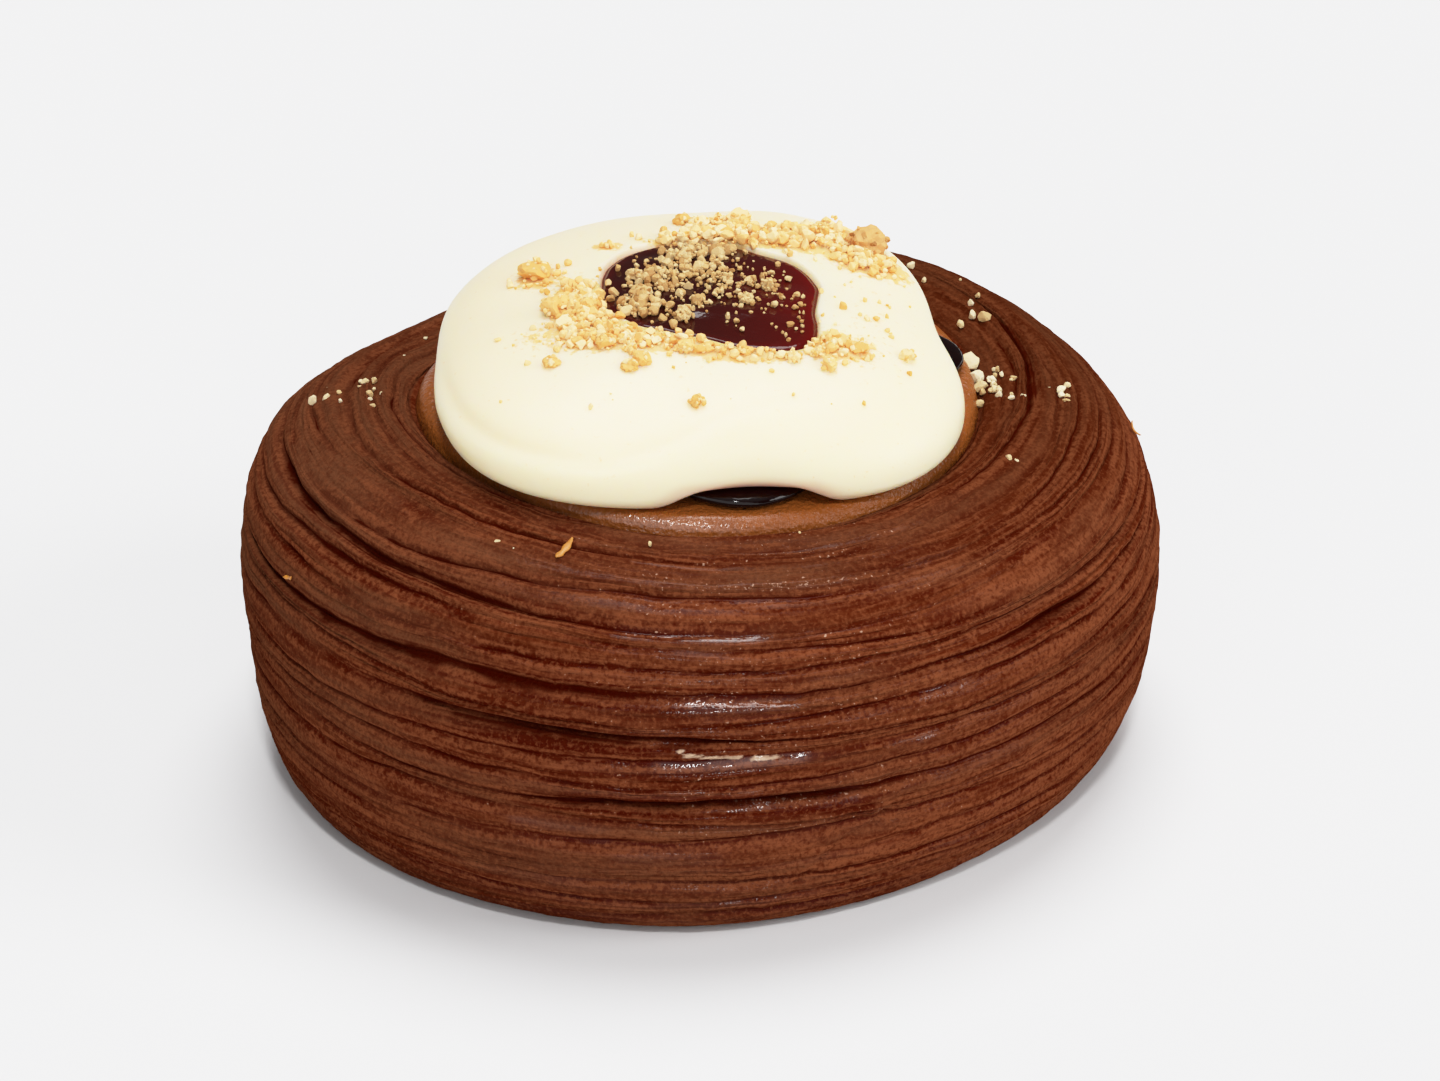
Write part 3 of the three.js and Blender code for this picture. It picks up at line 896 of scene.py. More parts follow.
@dataclass(frozen=True)
class Dough:
    """Drum of coiled laminated dough. Its layers' cut edges are strands, and each strand has finer ones.

    Lengths are in mm, and places up the wall are counted in strands.
    """

    slump: Slump
    finish: Finish = LaminatedDough()
    foot_radius: float = 44.0
    belly_radius: float = 51.9
    lip_height: float = 43.1
    floor_height: float = 38.5
    dish_power: int = 4  # more makes the dish's floor flatter
    shoulder_power: float = 2.12
    bend_points: int = 60
    slope_reach: float = 0.004  # share of the wall's length over which its slope is taken
    strands: int = 22
    bulge: float = 0.22
    swing: Wave = Wave(0.25, 2, 5.1)  # how a strand's bulge comes and goes, as a share of it
    shallow: float = 0.3  # share of its bulge that a strand drops by at a groove that hasn't opened
    groove: float = 0.24
    least_groove: float = 0.03
    groove_changes: tuple[RingNoise, ...] = (  # as shares of its depth
        RingNoise(9, 21, 0.7),
        RingNoise(31, 22, 0.5),
        RingNoise(90, 24, 0.4),
    )
    groove_waves: tuple[Wave, ...] = (Wave(0.2, 2, 1.7), Wave(0.15, 3, 2.9, 1.0), Wave(0.08, 5, 4.3))
    groove_strays: tuple[RingNoise, ...] = (RingNoise(40, 11, 0.09), RingNoise(110, 12, 0.045))
    swell: float = 0.2  # how far the whole wall stands out, so that its flatter strands reach the solid's
    crown_at: float = 0.42  # share of a strand's width
    crown_power: float = 2.8  # more makes the grooves narrower
    trough_power: float = 1.25  # likewise, for the painted shade about them
    gape_from: float = 2.0  # a groove this many times as deep as usual starts to gape
    gape_over: float = 3.0
    crack_from: float = 0.7  # likewise, to show painted dark shade inside it
    crack_over: float = 0.9
    crack_power: float = 3.0  # more makes the cracks narrower
    split_power: float = 5.0
    split_crack: float = 0.45  # how dark the painted shade in the splits between finer strands is
    gashes: tuple[Gash, ...] = (
        Gash(16, Swell(-148, 36, 0.9)),
        Gash(15, Swell(-147, 16, 0.6)),
        Gash(13, Swell(-128, 32, 1.1)),
        Gash(11, Swell(-108, 20, 1.5)),
        Gash(13, Swell(-39, 11, 0.9)),
        Gash(8, Swell(-88, 18, 1.6)),
        Gash(20, Swell(8, 30, 0.9)),
    )
    gash_ragged: RingNoise = RingNoise(60, 23, 0.35)
    splits: Pair = (0.36, 0.68)  # where the finer strands part, as shares of a strand
    split_strays: tuple[RingNoise, ...] = (RingNoise(13, 31, 0.13), RingNoise(13, 32, 0.13))
    split_depth: float = 0.24
    split_mean: float = 0.3  # more leaves fewer splits closed
    split_changes: RingNoise = RingNoise(23, 44)
    step: RingNoise = RingNoise(11, 41, 0.18)  # how unevenly the finer strands stand out
    lumps: RingNoise = RingNoise(12, 51, 0.28)
    lump_strands: float = 3.5  # how high a lump is
    end_strands: float = 2.0  # over which lumps and swell grow from the wall's ends
    marks: dict[str, Mark] = field(
        default_factory=lambda: {
            "tip": Mark(((10.8, -93.6), (10.5, -91.8)), 0.2),
            "peel": Mark(((10.5, -91.8), (10.35, -89), (10.3, -86)), 0.28),
            "scrap": Mark(((10.25, -84.6), (10.15, -81.5)), 0.3),
            # painted dark shade in bands along the two deepest gashes
            "damp": Mark(((10.7, -120), (10.8, -97)), 1.8),
            "damp below": Mark(((8.1, -106), (8.0, -84), (7.0, -70)), 1.3),
            "seam": Mark(((3.6, -78), (5.4, -73), (5.9, -69), (6.9, -66)), 0.5),
            "break": Mark(((4.4, -77), (6.4, -68)), 4.0),
        }
    )
    glosses: tuple[Mark, ...] = (
        Mark(((12.6, -92), (12.6, -80)), 0.8),
        Mark(((12.0, -90), (12.0, -80)), 0.6),
        Mark(((10.2, -95), (10.1, -79)), 1.0),
        Mark(((7.9, -96), (7.6, -72)), 0.8),
        Mark(((8.0, -106), (7.9, -97)), 0.7),
        Mark(((6.5, -113), (6.4, -102)), 0.7),
        Mark(((5.3, -100), (5.2, -88)), 0.7),
        Mark(((15.6, -101), (15.5, -84)), 0.8),
        Mark(((11.9, -63), (11.9, -58)), 0.5),
        Mark(((9.9, -67), (9.8, -62)), 0.5),
        Mark(((12.0, 70), (12.2, 96)), 1.0),
        Mark(((8.0, 88), (7.8, 110)), 1.0),
    )
    peel_lift: float = 0.3
    seam_depth: float = 0.4
    seam_crack: float = 0.35  # how dark the painted shade in the seam is
    gash_shade_strength: float = 0.9  # how dark the painted shade along the gashes is
    break_rough: float = 0.3
    break_tone: float = 0.5
    rough: RingNoise = RingNoise(230, 52)
    grain: float = 0.06  # how rough the surface is
    warmth: float = 0.5  # the dough's tone, from 0 for dark cocoa to 1 for ember
    warm_side: Swell = Swell(-32, 44, 0.42)
    mottles: tuple[RingNoise, ...] = (RingNoise(22, 42, 0.6), RingNoise(6, 43, 0.45))
    layering: float = 0.12  # how much lighter and darker the finer strands are by turns
    tints: tuple[Tint, ...] = (
        Tint(Swell(35, 50, -0.45), 14, 4),
        Tint(Swell(-135, 40, -0.3), 9, -4),
        Tint(Swell(-50, 30, 0.25), 10, -4),
        Tint(Swell(-45, 35, -0.3), 15, 3),
        Tint(Swell(0, ALL_ROUND, -0.3), 14, 4),
    )
    hidden_tone: float = 0.3  # under the foot and in the dish
    bloom_and_sheen: float = 0.2  # how dull the dough is all over, besides the painted grey sheen of the tints below
    bloom_and_sheen_most: float = 0.9
    # painted grey sheen on the left side and on the top, less on the right
    bloom_and_sheen_tints: tuple[Tint, ...] = (
        Tint(Swell(180, 45, 0.6), 6, 6),
        Tint(Swell(0, ALL_ROUND, 0.2), 14, 4),
        Tint(Swell(-20, 50, -0.2), -1, 1),
    )
    bloom_patches: RingNoise = RingNoise(20, 62, 0.45)
    bloom_rows: float = 1.2  # rows of patches in a strand
    umbers: tuple[Tint, ...] = (Tint(Swell(35, 60, 1.0), 13, 4), Tint(Swell(0, ALL_ROUND, 0.3), 16, 3))
    syrup: Swell = Swell(-84, 36, 0.14)  # where it lies thin, besides the glosses
    syrup_patches: RingNoise = RingNoise(24, 61, 0.5)
    syrup_rows: float = 1.5
    shoulder_from: float = 0.4  # share of a strand's width where the shoulder that holds syrup starts
    shoulder_over: float = 0.3
    shoulder_least: float = 0.1  # share of the syrup that stays elsewhere
    # sugar specks with painted sparkle glints, mostly on the front, and more on the glosses
    sugar_and_glints: Tint = Tint(Swell(-84, 36, 1.0), 3, 4)
    sugar_patchy: Pair = (0.2, 1.1)  # from bare to full patches
    glint_dots_on_glosses: float = 0.3
    flake_patchy: Pair = (0.6, 1.2)
    row_shares: tuple[float, ...] = (0.0, 0.18, 0.5, 0.82)
    foot_shares: tuple[float, ...] = (0.5, 0.95)
    dish_shares: tuple[float, ...] = (1.0, 0.96, 0.92, 0.6)
    around: int = 368
    stretch: float = 0.065  # of streaks, their width over their length

    @cached_property
    def profile(self) -> tuple[Array, Array, Array]:
        """Work out the wall's profile from the foot over the belly and the crest to the lip.

        Returns:
            Length along it, radius and height.
        """
        slump, power = self.slump, 2 / self.shoulder_power
        belly, crest, lip = slump.belly_height, slump.crest_height, self.lip_height
        bends = (  # middle in radius and height, reach in both, and which quarter of a turn
            (self.foot_radius, belly, self.belly_radius - self.foot_radius, belly, -1),
            (slump.crest_radius, belly, self.belly_radius - slump.crest_radius, crest - belly, 0),
            (slump.crest_radius, lip, slump.crest_radius - slump.dish_radius, crest - lip, 1),
        )
        radii, heights = [], []
        for middle, level, across, up, quarter in bends:
            turn = (quarter + np.arange(self.bend_points) / self.bend_points) * math.pi / 2
            cosine, sine = np.cos(turn), np.sin(turn)
            radii.append(middle + across * np.sign(cosine) * np.abs(cosine) ** power)
            heights.append(level + up * np.sign(sine) * np.abs(sine) ** power)
        radius = np.append(np.concatenate(radii), slump.dish_radius)
        height = np.append(np.concatenate(heights), lip)
        length = np.append(0, np.cumsum(np.hypot(np.diff(radius), np.diff(height))))
        return length, radius, height

    @property
    def pitch(self) -> float:
        """Give the width of an even strand."""
        return self.profile[0][-1] / self.strands

    def wall_point(self, place: Array, angle: Array, relief: Array) -> Array:
        """Find a point on the wall.

        Args:
            place: How far up the wall, counted in strands.
            angle: Round the drum.
            relief: How far it stands out.

        Returns:
            The points, with x, y and z last.
        """
        length, radius, height = self.profile
        at = np.clip(place / self.strands, 0, 1) * length[-1]
        reach = self.slope_reach * length[-1]
        low, high = np.clip(at - reach, 0, length[-1]), np.clip(at + reach, 0, length[-1])
        out = np.interp(high, length, height) - np.interp(low, length, height)
        down = np.interp(high, length, radius) - np.interp(low, length, radius)
        size = np.hypot(out, down)
        even_radius = np.interp(at, length, radius) + out / size * relief
        even_height = np.maximum(0, np.interp(at, length, height) - down / size * relief)
        return self.slump.drum_point(even_radius, angle, even_height)

    def groove_places(self, angle: Array) -> Array:
        """Work out where every groove runs.

        Args:
            angle: The angles round the drum.

        Returns:
            Places counted in strands, by groove and angle.
        """
        groove = np.arange(self.strands + 1)[:, None]
        wander = sum(change.at(groove, angle) for change in (*self.groove_waves, *self.groove_strays))
        ends = (groove == 0) | (groove == self.strands)
        return groove + np.where(ends, 0, wander)

    def groove_depths(self, angle: Array) -> Array:
        """Work out how deep every groove is cut, with its gashes.

        Args:
            angle: The angles round the drum.

        Returns:
            Depths by groove and angle.
        """
        groove = np.arange(self.strands + 1)[:, None]
        depth = self.groove * sum((change.at(groove, angle) for change in self.groove_changes), 1.0)
        ragged = 1 + self.gash_ragged.at(groove, angle)
        for gash in self.gashes:
            depth = depth + np.where(groove == gash.groove, gash.opening.at(angle) * ragged, 0)
        return np.where(groove == 0, 0, np.maximum(depth, self.least_groove))

    @property
    def finer(self) -> int:
        """Give how many finer strands each strand has."""
        return len(self.splits) + 1

    def cuts(self, strand: int, angle: Array) -> list[Array]:
        """Work out where a strand is split.

        Args:
            strand: Its number, from the lowest.
            angle: The angles round the drum.

        Returns:
            Shares of its width from its lower edge to its upper one, by angle.
        """
        splits = [split + stray.at(strand, angle) for split, stray in zip(self.splits, self.split_strays)]
        return [np.zeros_like(angle), *splits, np.ones_like(angle)]

    def opened(self, line: int, angle: Array) -> list[Array]:
        """Work out how far a finer strand has split from the next one below and above.

        Args:
            line: Its number, from the lowest.
            angle: The angles round the drum.

        Returns:
            Both openings from 0 to 1, by angle. An edge that is a groove has none.
        """
        edges = [line, line + 1]
        noise = [smooth(self.split_mean + self.split_changes.at(edge, angle)) for edge in edges]
        return [opening * (edge % self.finer > 0) for edge, opening in zip(edges, noise)]

    def tone(self, strand: int, line: int, angle: Array) -> Array:
        """Work out how light a finer strand has baked.

        Args:
            strand: The number of the strand that it belongs to, from the lowest.
            line: Its own number.
            angle: The angles round the drum.

        Returns:
            About 0 for dark cocoa to 1 for ember, by angle.
        """
        tone = self.warmth + self.warm_side.at(angle)
        for mottle in self.mottles:
            tone = tone + mottle.at(line, angle)
        tone = tone + (self.layering if line % 2 else -self.layering)
        for tint in self.tints:
            tone = tone + tint.at(strand, angle)
        return tone

    def rows(self, angle: Array) -> dict[str, Array]:
        """Work out every row of the wall.

        Args:
            angle: The angles round the drum.

        Returns:
            By row and angle: place in strands, relief, and the values that the finish reads.
        """
        places, depths = self.groove_places(angle), self.groove_depths(angle)
        names = ("place", "relief", "groove", "trough", "rim", "tone", "level", "shoulder")
        found: dict[str, list[Array]] = {name: [] for name in names}
        for line in range(self.strands * self.finer):
            strand, part = divmod(line, self.finer)
            edges = self.cuts(strand, angle)[part : part + 2]
            ends = strand in (0, self.strands - 1)
            swing = 1 - self.swing.size + self.swing.at(strand, angle)
            bulge = 0 if ends else self.bulge * swing
            step, tone = self.step.at(line, angle), self.tone(strand, line, angle)
            opened = self.opened(line, angle)
            for share in self.row_shares:
                within = blend(*edges, share)
                rising = within < self.crown_at
                toward = np.where(rising, within / self.crown_at, (1 - within) / (1 - self.crown_at))
                toward = 1 - np.clip(toward, 0, 1)
                depth = np.where(rising, depths[strand], depths[strand + 1])
                over = depth / self.groove
                parted = np.clip(over, 0, 1)
                gaping = 1 + smooth((over - self.gape_from) / self.gape_over)
                hollow, trough = toward ** (self.crown_power / gaping), toward**self.trough_power
                split = opened[0] * max(0, 1 - 2 * share) ** self.split_power
                split = split + opened[1] * max(0, 2 * share - 1) ** self.split_power
                ground = step * min(1, share / self.row_shares[1])
                # painted shade inside a crack, where the groove is deep enough
                crack_shade = hollow ** (self.crack_power / gaping**2)
                crack_shade = crack_shade * smooth((over - self.crack_from) / self.crack_over)
                dip = (bulge * blend(self.shallow, 1, parted) + depth) * hollow
                found["place"].append(blend(places[strand], places[strand + 1], within))
                found["relief"].append(bulge - dip - self.split_depth * split + ground)
                # painted shade in the cracks and in the splits between finer strands
                found["groove"].append(np.clip(crack_shade + self.split_crack * split, 0, 1))
                # painted shade about the grooves, darker where a groove is deeper
                found["trough"].append(np.clip(trough * depth / self.groove, 0, 1))
                found["rim"].append(4 * trough * (1 - trough) * parted)
                found["tone"].append(tone)
                found["level"].append((strand + within) * self.pitch)
                found["shoulder"].append(smooth((within - self.shoulder_from) / self.shoulder_over))
        return {name: np.array(value) for name, value in found.items()}

    def near(self, mark: Mark, place: Array, angle: Array) -> Array:
        """Say how near a mark is to places on the wall, from 0 to 1."""
        return mark.nearness(place, angle, self.pitch, self.belly_radius)

    def build(self) -> bpy.types.Object:
        """Build the drum with its fine strands, and dress it.

        Returns:
            The drum.
        """
        slump, angle = self.slump, round_angles(self.around)
        rows = self.rows(angle)
        place = rows["place"]
        marks = {name: self.near(mark, place, angle) for name, mark in self.marks.items()}
        marks["flakes"] = marks["tip"] + marks["peel"] + marks["scrap"]
        grown = smooth(place / self.end_strands)
        lumps = self.lumps.at(place / self.lump_strands, angle) * grown
        swell = self.swell * grown * smooth((self.strands - place) / self.end_strands)
        marked = self.peel_lift * marks["flakes"] - self.seam_depth * marks["seam"]
        rough = self.rough.at(place * self.finer, angle) * (self.grain + self.break_rough * marks["break"])
        wall = self.wall_point(place, angle, rows["relief"] + lumps + swell + (marked + rough))
        foot = [slump.drum_point(self.foot_radius * share, angle, np.zeros(1)) for share in self.foot_shares]
        dish = []
        for share in self.dish_shares:
            depth = blend(self.floor_height, self.lip_height, share**self.dish_power)
            dish.append(slump.drum_point(slump.dish_radius * share, angle, np.array([depth])))
        rings = np.concatenate([foot, wall, dish])
        pads = ((len(foot), len(dish)), (0, 0))
        values = self.baked_values(rows, marks, angle)
        values = {name: np.pad(value, pads) for name, value in values.items()}
        tone = rows["tone"] + self.break_tone * marks["break"]
        values["tone"] = np.pad(tone, pads, constant_values=self.hidden_tone)
        values["strand"] = self.strand_values(np.pad(rows["level"], pads, mode="edge"), angle)
        bottom = slump.drum_point(0, 0, np.zeros(1))[0]
        top = slump.drum_point(0, 0, np.array([self.floor_height]))[0]
        shape = lofted(rings, bottom, top, values)
        return place_piece("laminated_dough", shape, self.finish, ("dough",))

    def baked_values(self, rows: dict[str, Array], marks: dict[str, Array], angle: Array) -> dict[str, Array]:
        """Say where the wall has painted shade, dullness and painted sheen, glaze, sugary grit and painted
        glints, or peel.

        Args:
            rows: What each row of the wall has.
            marks: How near each mark is.
            angle: The angles round the drum.

        Returns:
            The values by row and angle.
        """
        place = rows["place"]
        patchy = 0.5 + self.syrup_patches.at(place * self.syrup_rows, angle)
        gloss = sum(self.near(mark, place, angle) for mark in self.glosses)
        held = blend(self.shoulder_least, 1, rows["shoulder"]) * (1 - rows["groove"])
        # sugar specks and painted sparkle glints
        sugared_and_glinting = self.sugar_and_glints.at(place, angle) * blend(*self.sugar_patchy, patchy)
        # dull bloom and painted grey sheen
        bloom_and_sheen = self.bloom_and_sheen + sum(tint.at(place, angle) for tint in self.bloom_and_sheen_tints)
        bloom_and_sheen = bloom_and_sheen + self.bloom_patches.at(place * self.bloom_rows, angle)
        # painted shade along the deepest gashes, laid over the troughs
        damp = self.gash_shade_strength * np.maximum(marks["damp"], marks["damp below"])
        return {
            # painted shade in the cracks and in the seam
            "groove": np.maximum(rows["groove"], self.seam_crack * marks["seam"]),
            "trough": np.maximum(rows["trough"], damp),
            "rim": rows["rim"],
            "glaze": np.clip((self.syrup.at(angle) * patchy + gloss) * held, 0, 1),
            "bloom_and_sheen": np.clip(bloom_and_sheen, 0, self.bloom_and_sheen_most),
            "umber": sum(tint.at(place, angle) for tint in self.umbers),
            "sugared_and_glinting": sugared_and_glinting + self.glint_dots_on_glosses * np.clip(gloss, 0, 1),
            "flake": marks["flakes"] * blend(*self.flake_patchy, patchy),
        }

    def strand_values(self, level: Array, angle: Array) -> Array:
        """Give places that run along the strands, for streaks that close on themselves round the drum.

        Args:
            level: How far up the wall each row is in the even coil, in mm.
            angle: The angles round the drum.

        Returns:
            Three numbers by row and angle, in mm.
        """
        x, y = polar(self.belly_radius * self.stretch, np.broadcast_to(angle, level.shape))
        return np.stack([x, y, level], axis=-1)


@dataclass(frozen=True)
class ButterFlakes:
    """Thin splinters of butter-fried crust that stuck to the dough. Lengths in mm, angles in degrees."""

    dough: Dough
    finish: Finish = ButterCrust()
    flakes: tuple[tuple[float, float, float, float, float], ...] = (  # strand, angle, length, width, turn
        (18.7, -112, 3.2, 0.8, 78),
        (14.4, 3, 1.9, 0.7, 60),
        (13.2, -152, 1.6, 0.5, 20),
        (19.6, 62, 2.4, 0.7, 40),
    )
    thickness: float = 0.22
    bed: float = 0.3  # how far the strands under them stand out
    lift: float = 0.15  # of their middles above that
    curl: float = 0.35  # how far the ends lift
    taper: float = 0.75  # share of the width that the ends lose
    ripple: float = 0.2  # how unevenly wide they are, as a share
    ripples: float = 7.0
    rings: int = 13
    around: int = 8
    nudge: Pair = (0.2, 0.01)  # steps up, in strands, and round, that give the slope

    def laid(self, place: float, angle: float, turn: float) -> tuple[Array, Array, Array, Array]:
        """Find how a splinter lies on the wall.

        Args:
            place: How far up the wall, counted in strands.
            angle: Round the drum, in radians.
            turn: How far it is turned from level, in radians.

        Returns:
            Its middle, and unit lengths along it, across it and outwards.
        """
        places, angles = np.full(3, place), np.full(3, angle)
        places[2] += self.nudge[0]
        angles[1] += self.nudge[1]
        middle, aside, above = self.dough.wall_point(places, angles, np.full(3, self.bed))
        level, up = ((other - middle) / np.linalg.norm(other - middle) for other in (aside, above))
        out = np.cross(level, up)
        along = level * math.cos(turn) + up * math.sin(turn)
        return middle, along, np.cross(out, along), out

    def build(self) -> bpy.types.Object:
        """Build the splinters and dress them.

        Returns:
            All of them as one piece.
        """
        turns = round_angles(self.around)[:, None]
        shapes = []
        for place, angle, length, width, turn in self.flakes:
            middle, along, across, out = self.laid(place, math.radians(angle), math.radians(turn))
            rings = []
            for step in np.linspace(-1, 1, self.rings):
                uneven = 1 + self.ripple * math.sin(self.ripples * step + place)
                half = width / 2 * (1 - self.taper * step**4) * uneven
                spine = middle + along * length / 2 * step + out * (self.lift + self.curl * step * step)
                ring = across * (half * np.cos(turns)) + out * (self.thickness / 2 * np.sin(turns))
                rings.append(spine + ring)
            shapes.append(lofted(np.array(rings), rings[0].mean(axis=0), rings[-1].mean(axis=0)))
        return place_piece("butter_flakes", joined(shapes), self.finish)


@dataclass(frozen=True)
class ChocolateCream:
    """Chocolate cream that fills the dish and shows as a ring round the white cream. Lengths in mm."""

    dough: Dough
    finish: Finish = MilkChocolateCream()
    radius: float = 31.5
    height: float = 44.9
    depth: float = 2.5
    lip: float = 1.7
    skirt: float = 1.0  # how far its edge runs on down into the dough
    tuck: float = 0.7  # how far it runs out there
    ripples: PlanNoise = PlanNoise(6.5, 71, 0.16)
    ripples_over: float = 1.5  # from its edge, until they have their full size
    sheen: Swell = Swell(-98, 17, 1.0)  # where its skin has set with a gloss
    under_shares: tuple[float, ...] = (0.5, 0.9)
    edge_rings: int = 10
    top_rings: int = 34
    top_radii: Pair = (29.4, 2.0)  # of its outermost and innermost ring
    around: int = 192

    def top(self, radius: Array) -> Array:
        """Give the height of its top, which rounds off towards its edge."""
        past = np.clip((radius - self.radius) / self.lip + 1, 0, 1)
        return self.height - self.lip * (1 - np.sqrt(1 - past * past))

    def build(self) -> bpy.types.Object:
        """Build the cream and dress it.

        Returns:
            The cream.
        """
        slump, angle = self.dough.slump, round_angles(self.around)
        low = self.height - self.depth
        rings = [slump.dish_point(*polar(self.radius * share, angle), low) for share in self.under_shares]
        skirt = self.height - self.lip - self.skirt
        rings.append(slump.dish_point(*polar(self.radius + self.tuck, angle), skirt))
        turns = np.linspace(0, math.pi / 2, self.edge_rings)
        edge = self.radius - self.lip * (1 - np.cos(turns))
        for radius in (*edge, *np.linspace(*self.top_radii, self.top_rings)):
            x, y = polar(radius, angle)
            uneven = self.ripples.at(x, y) * smooth((self.radius - radius) / self.ripples_over)
            rings.append(slump.dish_point(x, y, self.top(radius) + uneven))
        middle = np.zeros(1)
        bottom, top = (slump.dish_point(middle, middle, height)[0] for height in (low, self.height))
        values = {"sheen": np.tile(self.sheen.at(angle), (len(rings), 1))}
        shape = lofted(np.array(rings), bottom, top, values)
        return place_piece("chocolate_filling", shape, self.finish, ("chocolate_cream",))


@dataclass(frozen=True)
class JamLayer:
    """Cherry jam between the two creams, which shows where its tongues reach past the dollop."""

    chocolate: ChocolateCream
    finish: Finish = ThickCherryJam()
    radius: float = 24.0
    thickness: float = 1.6
    edge: float = 0.05  # share of its radius that rounds off
    tongues: tuple[Swell, ...] = (Swell(-79, 20, 5.6), Swell(8, 15, 6.6))
    lumps: PlanNoise = PlanNoise(2.6, 81, 0.12)
    under_shares: tuple[float, ...] = (0.5, 0.88)
    edge_rings: int = 13
    top_rings: int = 26
    top_shares: Pair = (0.93, 0.1)  # of its outermost and innermost ring
    around: int = 240

    def reach(self, angle: Array) -> Array:
        """Give its radius at an angle."""
        return self.radius + sum(tongue.at(angle) for tongue in self.tongues)

    def build(self) -> bpy.types.Object:
        """Build the jam and dress it.

        Returns:
            The jam.
        """
        slump, angle = self.chocolate.dough.slump, round_angles(self.around)
        half = self.thickness / 2
        steps = [(share, 0.0) for share in self.under_shares]
        for turn in np.linspace(-math.pi / 2, math.pi / 2, self.edge_rings):
            steps.append((1 - self.edge * (1 - math.cos(turn)), half + half * math.sin(turn)))
        steps += [(share, self.thickness) for share in np.linspace(*self.top_shares, self.top_rings)]
        rings = []
        for share, lift in steps:
            radius = self.reach(angle) * share
            x, y = polar(radius, angle)
            uneven = self.lumps.at(x, y) * lift / self.thickness
            rings.append(slump.dish_point(x, y, self.chocolate.top(radius) + GAP + lift + uneven))
        middle, low = np.zeros(1), self.chocolate.height + GAP
        bottom, top = (slump.dish_point(middle, middle, low + lift)[0] for lift in (0, self.thickness))
        values = {"thin": np.zeros((len(rings), self.around))}
        shape = lofted(np.array(rings), bottom, top, values)
        return place_piece("jam_between_creams", shape, self.finish, ("jam_layer",))


@dataclass(frozen=True)
class Lobe:
    """A place where the dollop's edge reaches out or draws back, and its waist rises or sinks."""

    towards: float
    width: float
    reach: float
    lift: float


@dataclass(frozen=True)
class Drift:
    """Crumbs that lie thickest in the middle, the largest first. Lengths in mm."""

    bed: Bed
    at: Pair
    spread: Pair
    largest: float
    crumbs: int


@dataclass(frozen=True)
class Dust:
    """Loose grains, finer than the crumbs of a drift, heaped up in their middle. Lengths in mm."""

    bed: Bed
    at: Pair
    spread: Pair
    grains: int
    size: Pair
    heap: float


